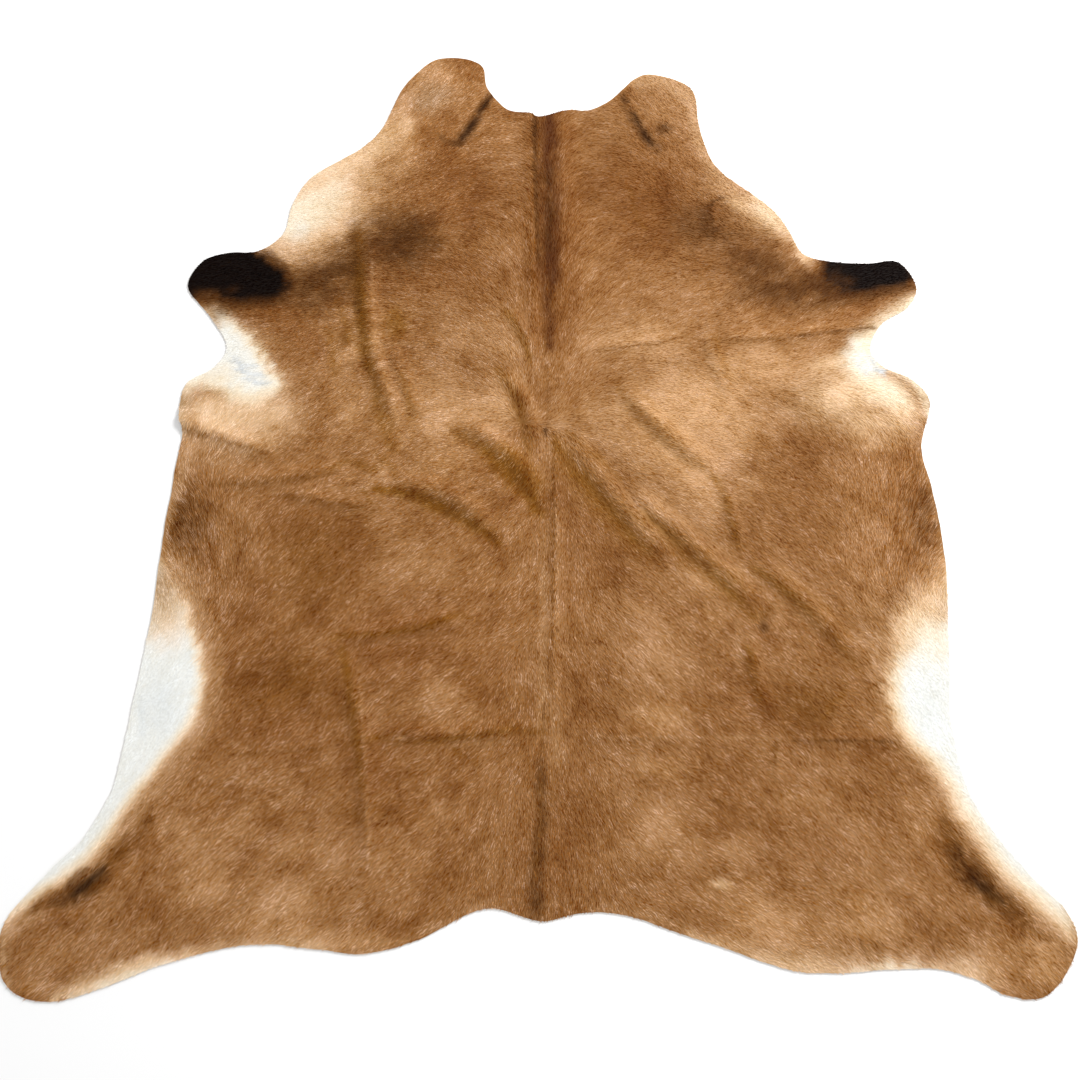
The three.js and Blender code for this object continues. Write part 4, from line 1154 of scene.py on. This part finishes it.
def area_depth(p, area):
    """How far points p lie inside the named area, negative outside it."""
    ring = np.array([row[1:] for row in AREAS if row[0] == area], float)
    ring = through(ring, True, 6)
    depth = np.full(len(p), -1e3)
    near = np.nonzero(((p > ring.min(0) - 60) & (p < ring.max(0) + 60)).all(1))[0]
    q = p[near]
    best = np.full(len(q), 1e9)
    inside = np.zeros(len(q), bool)
    for a, b in zip(ring, np.roll(ring, -1, 0)):
        e = b - a
        u = np.clip(((q - a) @ e) / max(e @ e, 1e-9), 0, 1)
        best = np.minimum(best, np.linalg.norm(q - a - u[:, None] * e, axis=1))
        if a[1] != b[1]:
            level = (a[1] > q[:, 1]) != (b[1] > q[:, 1])
            inside ^= level & (q[:, 0] < a[0] + (q[:, 1] - a[1]) * e[0] / e[1])
    depth[near] = np.where(inside, best, -best)
    return depth


def stroke_cover(p, row):
    name, tone, x0, y0, x1, y1, x2, y2, w0, w1, w2, strength, soft = row
    a, b, c = np.array([x0, y0], float), np.array([x1, y1], float), np.array([x2, y2], float)
    bend = 2 * b - (a + c) / 2  # the stroke passes through its middle point
    reach = max(w0, w1, w2)
    low = np.minimum(np.minimum(a, b), c) - reach
    high = np.maximum(np.maximum(a, b), c) + reach
    cover = np.zeros(len(p))
    near = np.nonzero(((p > low) & (p < high)).all(1))[0]
    if not len(near):
        return cover
    q = p[near]
    steps = 14
    t = np.linspace(0, 1, steps + 1)[:, None]
    line = (1 - t) ** 2 * a + 2 * t * (1 - t) * bend + t**2 * c
    best, along = np.full(len(q), 1e9), np.zeros(len(q))
    for k in range(steps):
        e = line[k + 1] - line[k]
        u = np.clip(((q - line[k]) @ e) / (e @ e), 0, 1)
        d = np.linalg.norm(q - line[k] - u[:, None] * e, axis=1)
        closer = d < best
        best[closer] = d[closer]
        along[closer] = ((k + u) / steps)[closer]
    width = np.interp(along, [0, 0.5, 1], [w0, w1, w2])
    uneven = 0.82 + 0.3 * noise(q, 26, 81) if width.max() < 30 else 1.0
    cover[near] = np.clip(strength * uneven, 0, 1) * ease((1.0 - best / width) / soft)
    return cover


def coat(p):
    """sRGB 0..255 of the coat at points p (n, 2) in mm, painted sheen and the painted shade and highlights of the
    folds included.
    """
    lie = hair_lie(p)
    # Hair carries its colour along with it, so edges are drawn out along the lie.
    broad = np.stack([layers(p, 90, 11, 3), layers(p, 90, 21, 3)], 1)
    fine = noise(p, 14, 31) * 9 + noise(p, 7, 32) * 5
    wide = p + broad * 16 + lie * fine[:, None]
    narrow = p + broad * 4 + lie * (fine * 0.35)[:, None]
    broken = np.clip(0.95 + 0.55 * noise(p + lie * fine[:, None], 17, 33), 0, 1)
    rough = np.clip(0.8 + 0.6 * noise(p + lie * fine[:, None], 11, 34), 0, 1.1)
    sooty = np.clip(0.9 + 0.4 * noise(p + lie * fine[:, None], 12, 36), 0, 1)
    streaks = np.clip(0.8 + 0.6 * noise(p * np.array([1.0, 0.2]), 8, 35), 0, 1)
    fringe = p + broad * 6 + lie * fine[:, None]
    depths = {}
    colour = np.tile(np.array(TONES["caramel"], float), (len(p), 1))
    for kind, table in COAT:
        for row in table:
            if kind == "area":
                name, area, tone, inset, soft, strength = row
                if area not in depths:
                    depths[area] = area_depth(fringe, area)
                cover = strength * ease((depths[area] - inset) / soft + 0.5)
                colour += (np.array(TONES[tone], float) - colour) * cover[:, None]
                continue
            big = kind == "patch" and min(row[4], row[5]) > 30
            if kind == "patch":
                cover = patch_cover(wide if big else narrow, row)
            else:
                size = max(row[8:11])
                cover = stroke_cover(wide if size > 26 else narrow if size > 6 else p, row)
                big = size > 14
            if big and row[1] == "umber" and kind == "patch":
                cover = cover * broken
            if big and row[1] in ("umber", "deep") and kind == "stroke":
                cover = cover * rough
            if row[1] == "black" and kind == "patch":
                cover = cover * sooty
            if row[1] == "plum":
                cover = cover * streaks
            colour += (np.array(TONES[row[1]], float) - colour) * cover[:, None]
    # The nap lies unevenly all over, weaker where the coat is nearly white or black:
    # opened it shows amber, closed it is painted paler as a painted sheen.
    mean = colour.mean(1) / 255.0
    weight = np.clip((1.0 - mean) * 2.2 - 0.25, 0.06, 1.0) * np.clip(mean * 3.6 - 0.15, 0.15, 1.0)
    q = p + lie * (noise(p, 22, 41) * 9)[:, None]
    nap = 1.25 * layers(q, 62, 43, 4, 0.62) + 0.3 * noise(q, 9, 61) + 0.35 * layers(p, 170, 71, 2)
    nap += 0.16 * np.tanh(4.5 * layers(q, 34, 51, 3, 0.6))
    opened = np.clip(-nap, 0, 1) * 0.68 * weight
    closed = np.clip(nap, 0, 1) * 0.54 * weight
    colour += (colour * np.array([0.77, 0.65, 0.41]) - colour) * opened[:, None]
    colour += (colour * np.array([1.17, 1.25, 1.48]) - colour) * closed[:, None]
    return np.clip(colour, 0, 255)

# ----------------------------------------------------------------- the shape


def through(points, closed, samples=40):
    """A centripetal Catmull-Rom curve through points (n, 2), sampled finely."""
    n = len(points)
    spans = n if closed else n - 1
    w = np.arange(samples)[:, None] / samples
    out = []
    for i in range(spans):
        p1, p2 = points[i], points[(i + 1) % n]
        p0 = points[i - 1] if closed or i > 0 else 2 * points[0] - points[1]
        p3 = points[(i + 2) % n] if closed or i + 2 < n else 2 * points[n - 1] - points[n - 2]
        d0, d1, d2 = (math.sqrt(np.linalg.norm(b - a)) for a, b in ((p0, p1), (p1, p2), (p2, p3)))
        t1 = ((p1 - p0) / d0 - (p2 - p0) / (d0 + d1) + (p2 - p1) / d1) * d1
        t2 = ((p2 - p1) / d1 - (p3 - p1) / (d1 + d2) + (p3 - p2) / d2) * d1
        out.append(p1 + t1 * w + (-3 * p1 + 3 * p2 - 2 * t1 - t2) * w**2 + (2 * p1 - 2 * p2 + t1 + t2) * w**3)
    out.append(points[:1] if closed else points[n - 1 :])
    return np.concatenate(out)


def spaced(line, count):
    """count + 1 points evenly along a line, the first and last included."""
    run = np.concatenate([[0], np.cumsum(np.linalg.norm(np.diff(line, axis=0), axis=1))])
    at = np.linspace(0, run[-1], count + 1)
    return np.stack([np.interp(at, run, line[:, 0]), np.interp(at, run, line[:, 1])], 1)


def cut_edge():
    """The cut edge about every EDGE_STEP mm, a little uneven as cut by hand."""
    line = through(np.array(LANDMARKS, float), True)
    length = np.linalg.norm(np.diff(line, axis=0), axis=1).sum()
    ring = spaced(line, round(length / EDGE_STEP))[:-1]
    along = np.roll(ring, -1, 0) - np.roll(ring, 1, 0)
    out = np.stack([along[:, 1], -along[:, 0]], 1)
    out /= np.linalg.norm(out, axis=1, keepdims=True)
    wander = 1.1 * noise(ring, 55, 91) + 0.5 * noise(ring, 15, 92)
    return ring + out * wander[:, None], out


class Inside:
    """Which points lie inside the ring, from a map with one cell a millimetre."""

    def __init__(self, ring):
        self.low = np.floor(ring.min(0)) - 2
        size = np.ceil(ring.max(0) - self.low).astype(int) + 3
        self.cells = np.zeros((size[1], size[0]), bool)
        a, b = ring, np.roll(ring, -1, 0)
        for row in range(size[1]):
            y = self.low[1] + row + 0.5
            hit = (a[:, 1] > y) != (b[:, 1] > y)
            xs = a[hit, 0] + (b[hit, 0] - a[hit, 0]) * (y - a[hit, 1]) / (b[hit, 1] - a[hit, 1])
            xs = np.sort(np.round(xs - self.low[0] - 0.5)).astype(int)
            for x0, x1 in zip(xs[0::2], xs[1::2]):
                self.cells[row, x0 + 1 : x1 + 1] = True

    def __call__(self, p):
        i = np.floor(p - self.low).astype(int)
        ok = ((i >= 0) & (i < np.array(self.cells.shape)[::-1])).all(1)
        i = np.clip(i, 0, np.array(self.cells.shape)[::-1] - 1)
        return ok & self.cells[i[:, 1], i[:, 0]]


def rise_and_fall(t):
    return np.where(t >= 1, 0.0, (1 + np.cos(np.pi * np.minimum(t, 1))) / 2)


def lift(p):
    """How far the underside lifts off the floor at points p (n, 2)."""
    h = np.zeros(len(p))
    for name, x0, y0, x1, y1, x2, y2, rise, width, runs_off in FOLDS:
        line = spaced(through(np.array([[x0, y0], [x1, y1], [x2, y2]], float), False), 24)
        near = np.nonzero(((p > line.min(0) - width) & (p < line.max(0) + width)).all(1))[0]
        if not len(near):
            continue
        q = p[near]
        best, along = np.full(len(q), 1e9), np.zeros(len(q))
        for k in range(24):
            e = line[k + 1] - line[k]
            u = np.clip(((q - line[k]) @ e) / (e @ e), 0, 1)
            d = np.linalg.norm(q - line[k] - u[:, None] * e, axis=1)
            closer = d < best
            best[closer] = d[closer]
            along[closer] = ((k + u) / 24)[closer]
        left = 1 - along if runs_off else np.minimum(along, 1 - along)
        fade = np.minimum(1, left / 0.3)
        h[near] = np.maximum(h[near], rise * rise_and_fall(best / width) * rise_and_fall(1 - fade))
    for name, x, y, rx, ry, turn, rise in SWELLS:
        c, s = math.cos(math.radians(turn)), math.sin(math.radians(turn))
        dx, dy = p[:, 0] - x, p[:, 1] - y
        h += rise * rise_and_fall(np.hypot((dx * c + dy * s) / rx, (dy * c - dx * s) / ry))
    return np.where(h < 0.05, 0.0, h)


EDGE, EDGE_OUT = cut_edge()
INSIDE = Inside(EDGE)
MIDDLE = (EDGE.min(0) + EDGE.max(0)) / 2


def place(p, z):
    """Millimetres in the tables' own frame to metres in the part's frame."""
    return np.column_stack([p - MIDDLE, z]) / 1000.0


def linear(srgb):
    c = np.asarray(srgb, float) / 255.0
    return np.where(c <= 0.04045, c / 12.92, ((c + 0.055) / 1.055) ** 2.4)


def mesh_piece(name, co, faces, material, uv=None, colour=None, smooth=False):
    """A mesh object. uv is given for each corner, colour for each vertex."""
    mesh = bpy.data.meshes.new(name)
    mesh.vertices.add(len(co))
    mesh.vertices.foreach_set("co", np.ascontiguousarray(co, np.float32).ravel())
    mesh.loops.add(faces.size)
    mesh.loops.foreach_set("vertex_index", np.ascontiguousarray(faces, np.int32).ravel())
    mesh.polygons.add(len(faces))
    mesh.polygons.foreach_set("loop_start", np.arange(0, faces.size, 3, dtype=np.int32))
    mesh.polygons.foreach_set("loop_total", np.full(len(faces), 3, np.int32))
    mesh.update(calc_edges=True)
    mesh.polygons.foreach_set("use_smooth", np.full(len(faces), smooth, bool))
    if uv is not None:
        layer = mesh.uv_layers.new(name="OFBake")
        layer.data.foreach_set("uv", np.ascontiguousarray(uv, np.float32).ravel())
    if colour is not None:
        tone = mesh.color_attributes.new(name="tone", type="FLOAT_COLOR", domain="POINT")
        rgba = np.column_stack([colour, np.ones(len(colour))]).astype(np.float32)
        tone.data.foreach_set("color", rgba.ravel())
    if material is not None:
        mesh.materials.append(material)
    piece = bpy.data.objects.new(name, mesh)
    bpy.context.scene.collection.objects.link(piece)
    return piece


# ----------------------------------------------------------- the leather sheet


def net():
    """Points and triangles of the sheet in plan."""
    rng = np.random.default_rng(7)
    low, high = EDGE.min(0), EDGE.max(0)
    rows = np.arange(low[1], high[1], NET_STEP * math.sqrt(3) / 2)
    points = []
    for k, y in enumerate(rows):
        x = np.arange(low[0] + (k % 2) * NET_STEP / 2, high[0], NET_STEP)
        points.append(np.column_stack([x, np.full(len(x), y)]))
    points = np.concatenate(points)
    points += rng.uniform(-0.8, 0.8, points.shape)
    points = points[INSIDE(points)]
    tree = kdtree.KDTree(len(EDGE))
    for i, (x, y) in enumerate(EDGE):
        tree.insert((x, y, 0), i)
    tree.balance()
    far = np.array([tree.find((x, y, 0))[2] for x, y in points])
    points = points[far > 5.5]
    n = len(EDGE)
    every = np.concatenate([EDGE, points])
    ring = [(i, (i + 1) % n) for i in range(n)]
    co, _, faces, _, _, _ = delaunay_2d_cdt([Vector(p) for p in every], ring, [], 1, 1e-6)
    co = np.array([tuple(p) for p in co])
    faces = np.array([f for f in faces if len(f) == 3], int)
    a, b, c = (co[faces[:, k]] for k in range(3))
    turn = (b[:, 0] - a[:, 0]) * (c[:, 1] - a[:, 1]) - (b[:, 1] - a[:, 1]) * (c[:, 0] - a[:, 0])
    faces[turn < 0] = faces[turn < 0][:, ::-1]
    return co, faces, tree


def sheet_piece():
    co, faces, tree = net()
    n = len(co)
    # The rim of the net, walked by its own triangles.
    sides = np.concatenate([faces[:, [0, 1]], faces[:, [1, 2]], faces[:, [2, 0]]])
    seen = set(map(tuple, sides.tolist()))
    rim = np.array([s for s in sides.tolist() if (s[1], s[0]) not in seen])
    h = lift(co)
    top, under = place(co, h + SKIN), place(co, h)
    walls = np.concatenate(
        [np.column_stack([rim[:, 0], rim[:, 1] + n, rim[:, 1]]), np.column_stack([rim[:, 0], rim[:, 0] + n, rim[:, 1] + n])]
    )
    every = np.concatenate([faces, faces[:, ::-1] + n, walls])
    plan = (co - co.min(0)) / (co.max(0) - co.min(0))
    big = plan * 0.80 + 0.01
    small = np.column_stack([plan[:, 0] * 0.17 + 0.82, plan[:, 1] * 0.80 + 0.01])
    uv_top = big[faces]
    uv_under = small[faces[:, ::-1]]
    strip = np.arange(len(rim)) / len(rim)
    step = 1.0 / len(rim)
    x0, x1 = 0.01 + 0.97 * strip, 0.01 + 0.97 * (strip + step)
    y0, y1 = np.full(len(rim), 0.86), np.full(len(rim), 0.96)
    uv_walls = np.concatenate(
        [
            np.stack([np.stack([x0, y1], 1), np.stack([x1, y0], 1), np.stack([x1, y1], 1)], 1),
            np.stack([np.stack([x0, y1], 1), np.stack([x0, y0], 1), np.stack([x1, y0], 1)], 1),
        ]
    )
    uv = np.concatenate([uv_top, uv_under, uv_walls]).reshape(-1, 2)
    tone = coat(co)
    # The coat under the hair is painted darker: painted shade beneath the locks, stronger on dark coat.
    tone *= 1 - 0.16 * np.clip((1 - tone.mean(1) / 255) * 2.0, 0.1, 1)[:, None]
    both = np.concatenate([linear(tone), np.tile(linear((196, 178, 154)), (n, 1))])
    piece = mesh_piece("hide_sheet", np.concatenate([top, under]), every, None, uv, both, smooth=True)
    kinds = np.concatenate([np.zeros(len(faces)), np.ones(len(faces)), np.full(len(walls), 2)]).astype(np.int32)
    for material in (shaded_undercoat(), suede(), cut_leather()):
        piece.data.materials.append(material)
    piece.data.polygons.foreach_set("material_index", kinds)
    flat = piece.data.attributes.get("sharp_face")
    if flat is None:
        flat = piece.data.attributes.new("sharp_face", "BOOLEAN", "FACE")
    flat.data.foreach_set("value", kinds == 2)
    piece.data.set_sharp_from_angle(angle=math.radians(50))
    piece.data.update()
    return piece, tree


# ------------------------------------------------------------------ the hair


def lock_roots():
    rng = np.random.default_rng(17)
    low, high = EDGE.min(0), EDGE.max(0)
    xs = np.arange(low[0], high[0], LOCK_STEP)
    ys = np.arange(low[1], high[1], LOCK_STEP)
    grid = np.stack(np.meshgrid(xs, ys), -1).reshape(-1, 2)
    grid += rng.uniform(-0.62, 0.62, grid.shape) * LOCK_STEP
    return grid[INSIDE(grid)]


def how_thin(p):
    """0 on full coat, up to 1 where the belly skin shows through."""
    bare = np.zeros(len(p))
    for row in BELLY:
        if row[1] == "skin":
            bare = np.maximum(bare, patch_cover(p, row))
    for row in LEG_STRIPS:
        if row[1] == "skin":
            bare = np.maximum(bare, stroke_cover(p, row))
    return bare


def hair_pieces(tree):
    rng = np.random.default_rng(23)
    root = lock_roots()
    bare = how_thin(root)
    root = root[rng.random(len(root)) > 0.3 * bare]
    n = len(root)
    bare = how_thin(root)
    lie = hair_lie(root)
    turn = np.radians(9 * noise(root, 26, 101) + 7 * noise(root, 9, 102) + rng.normal(0, 6.5, n))
    way = np.stack([lie[:, 0] * np.cos(turn) - lie[:, 1] * np.sin(turn), lie[:, 0] * np.sin(turn) + lie[:, 1] * np.cos(turn)], 1)
    longer = np.ones(n)
    for name, x, y, rx, ry, times in LONG_HAIR:
        d = np.hypot((root[:, 0] - x) / rx, (root[:, 1] - y) / ry)
        longer = np.maximum(longer, 1 + (times - 1) * ease((1 - d) / 0.8))
    length = rng.uniform(*LOCK_LENGTH, n) * longer * (1 - 0.35 * bare)
    width = rng.uniform(*LOCK_WIDTH, n) * (1 - 0.45 * bare)
    rise = rng.uniform(*LOCK_RISE, n) * (1 - 0.4 * bare)
    # A tip may pass the cut edge by a few millimetres, no more.
    spare = rng.uniform(0.2, 2.8, n) + 4.0 * (rng.random(n) < 0.05)
    over = np.nonzero(~INSIDE(root + way * (length * 1.02)[:, None]))[0]
    for i in over:
        x, y = root[i]
        reach = length[i]
        for _ in range(9):
            tip = root[i] + way[i] * reach
            if INSIDE(tip[None])[0] or tree.find((tip[0], tip[1], 0))[2] <= spare[i] + 0.6:
                break
            reach *= 0.84
        length[i] = max(reach, 3.5)
    tip = root + way * length[:, None]
    side = np.stack([-way[:, 1], way[:, 0]], 1) * (width / 2)[:, None]
    mid = root + way * (length * 0.34)[:, None]
    tone = coat(root)
    mean = tone.mean(1)
    # Pale hair lies flatter, so its sides don't shade it.
    flat = 0.85 - 0.4 * np.clip((mean - 165) / 45, 0, 1)
    base = lift(root) + SKIN - 0.4 * flat
    z_tip = lift(tip) + SKIN + rise * flat
    z_mid = np.maximum(base + flat * 0.55 + 0.34 * (z_tip - base), lift(mid) + SKIN + 0.45 * flat)
    # Each lock is a little darker or paler than the coat, in grey more than in hue.
    dark = np.clip((1 - mean / 255) * 2.0, 0.10, 1.0)
    # Locks that lie in one line share a shade, so the hair reads as fine streaks.
    streak = sum(noise(root + lie * reach, 5.5, 111) for reach in (-12, -6, 0, 6, 12)) / 5
    tuft = sum(noise(root + lie * reach, 13, 112) for reach in (-14, 0, 14)) / 3
    lock = (rng.uniform(-42, 33, n) + 36 * streak + 26 * tuft) * dark * np.clip(mean / 95, 0.2, 1)
    greyer = 1 + np.array([-0.12, 0.03, 0.32]) * np.clip(mean / 110, 0, 1)[:, None]
    shade = tone + lock[:, None] * greyer
    warm = rng.normal(0, 2.2, n) * dark
    shade = shade + np.stack([warm, warm * 0.2, -warm], 1)
    ends = []
    full = dark * np.clip(mean / 95, 0.2, 1)
    for step in (-20, -20, 0, 9):  # darker at the root, paler at the tip
        ends.append(linear(np.clip(shade + (step * full)[:, None] * greyer, 0, 255)))
    corners = [
        place(root + side, base),
        place(root - side, base),
        place(mid, z_mid),
        place(tip, z_tip),
    ]
    # Corners of one lock: left, right, ridge, tip. Four faces close it.
    shape = np.array([[0, 2, 3], [2, 1, 3], [0, 1, 2], [0, 3, 1]])
    material = hair()
    order = np.argsort(root[:, 1], kind="stable")[::-1]
    names = ["hair_neck", "hair_shoulders", "hair_ribs", "hair_loin", "hair_rump"]
    parts = np.array_split(order, len(names))
    pieces = []
    for name, part in zip(names, parts):
        m = len(part)
        co = np.stack([c[part] for c in corners], 1)
        col = np.stack([e[part] for e in ends], 1)
        faces = (np.arange(m)[:, None, None] * 4 + shape[None]).reshape(-1, 3)
        plan = co[:, :, :2].reshape(-1, 2)
        uv = (plan - plan.min(0)) / (plan.max(0) - plan.min(0)) * 0.98 + 0.01
        pieces.append(mesh_piece(name, co.reshape(-1, 3), faces, material, uv[faces.ravel()], col.reshape(-1, 3)))
    print("locks", n, "in", len(pieces), "pieces")
    return pieces


# ------------------------------------------------------------- the materials


def shader(name, roughness, level):
    material = bpy.data.materials.new(name)
    material.use_nodes = True
    tree = material.node_tree
    tree.nodes.clear()
    out = tree.nodes.new("ShaderNodeOutputMaterial")
    skin = tree.nodes.new("ShaderNodeBsdfPrincipled")
    skin.inputs["Roughness"].default_value = roughness
    skin.inputs["Specular IOR Level"].default_value = level
    tree.links.new(skin.outputs["BSDF"], out.inputs["Surface"])
    return material, tree, skin


def toned(tree, skin, spread, amount):
    """The mesh's own tone, a little uneven at the given scale."""
    tone = tree.nodes.new("ShaderNodeAttribute")
    tone.attribute_name = "tone"
    place_ = tree.nodes.new("ShaderNodeTexCoord")
    grain = tree.nodes.new("ShaderNodeTexNoise")
    grain.inputs["Scale"].default_value = spread
    grain.inputs["Detail"].default_value = 4.0
    span = tree.nodes.new("ShaderNodeMapRange")
    span.inputs["From Min"].default_value = 0.3
    span.inputs["From Max"].default_value = 0.7
    span.inputs["To Min"].default_value = 1.0 - amount
    span.inputs["To Max"].default_value = 1.0 + amount
    scale = tree.nodes.new("ShaderNodeVectorMath")
    scale.operation = "SCALE"
    tree.links.new(place_.outputs["Object"], grain.inputs["Vector"])
    tree.links.new(grain.outputs["Fac"], span.inputs["Value"])
    tree.links.new(tone.outputs["Color"], scale.inputs[0])
    tree.links.new(span.outputs["Result"], scale.inputs["Scale"])
    tree.links.new(scale.outputs["Vector"], skin.inputs["Base Color"])
    return grain


def bumped(tree, skin, grain, distance, strength):
    bump = tree.nodes.new("ShaderNodeBump")
    bump.inputs["Distance"].default_value = distance
    bump.inputs["Strength"].default_value = strength
    tree.links.new(grain.outputs["Fac"], bump.inputs["Height"])
    tree.links.new(bump.outputs["Normal"], skin.inputs["Normal"])


def shaded_undercoat():
    material, tree, skin = shader("shaded_undercoat", 0.8, 0.09)
    grain = toned(tree, skin, 260.0, 0.10)
    bumped(tree, skin, grain, 0.0004, 0.4)
    return material


def suede():
    material, tree, skin = shader("suede underside", 0.92, 0.15)
    grain = toned(tree, skin, 90.0, 0.07)
    bumped(tree, skin, grain, 0.0006, 0.6)
    return material


def cut_leather():
    material, tree, skin = shader("cut leather", 0.8, 0.25)
    skin.inputs["Base Color"].default_value = (*linear((186, 160, 128)), 1.0)
    return material


def hair():
    material, tree, skin = shader("short hair", 0.7, 0.02)
    toned(tree, skin, 900.0, 0.05)
    return material

# ----------------------------------------------------------------- the build

sheet, edge_tree = sheet_piece()
hairs = hair_pieces(edge_tree)
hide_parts("hide")
for piece in [sheet, *hairs]:
    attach(piece, "root")

# ------------------------------------------------------- floor, light, camera

floor_mesh = bpy.data.meshes.new("floor")
floor_mesh.from_pydata([(-40, -40, 0), (40, -40, 0), (40, 40, 0), (-40, 40, 0)], [], [(0, 1, 2, 3)])
floor = bpy.data.objects.new("floor", floor_mesh)
bpy.context.scene.collection.objects.link(floor)
pale, pale_tree, pale_skin = shader("pale floor", 0.9, 0.1)
pale_skin.inputs["Base Color"].default_value = (0.80, 0.80, 0.80, 1.0)
floor_mesh.materials.append(pale)
floor.location.z = -0.0002

world = bpy.data.worlds.new("studio")
world.use_nodes = True
sky = world.node_tree.nodes["Background"]
sky.inputs["Color"].default_value = (1.0, 1.0, 1.0, 1.0)
sky.inputs["Strength"].default_value = WORLD_LIGHT
bpy.context.scene.world = world


def soft_light(name, at, size, power, colour=(1.0, 1.0, 1.0)):
    data = bpy.data.lights.new(name, "AREA")
    data.shape = "DISK"
    data.size = size
    data.energy = power
    data.color = colour
    light = bpy.data.objects.new(name, data)
    light.location = at
    light.rotation_euler = (-Vector(at)).to_track_quat("-Z", "Y").to_euler()
    bpy.context.scene.collection.objects.link(light)


soft_light("key", *KEY_LIGHT)

# The photo looks down at 73 degrees from in front of the tail.
camera_data = bpy.data.cameras.new("camera")
camera_data.sensor_width = 36.0
camera_data.lens = 35.0
camera_data.clip_end = 50.0
camera = bpy.data.objects.new("camera", camera_data)
camera.location = (0.003518 - MIDDLE[0] / 1000, -0.824441 - MIDDLE[1] / 1000, 2.131703)
camera.rotation_euler = (math.radians(17.0), 0.0, 0.0)
bpy.context.scene.collection.objects.link(camera)
bpy.context.scene.camera = camera
bpy.context.scene.view_settings.view_transform = "Standard"
bpy.context.scene.view_settings.look = "None"
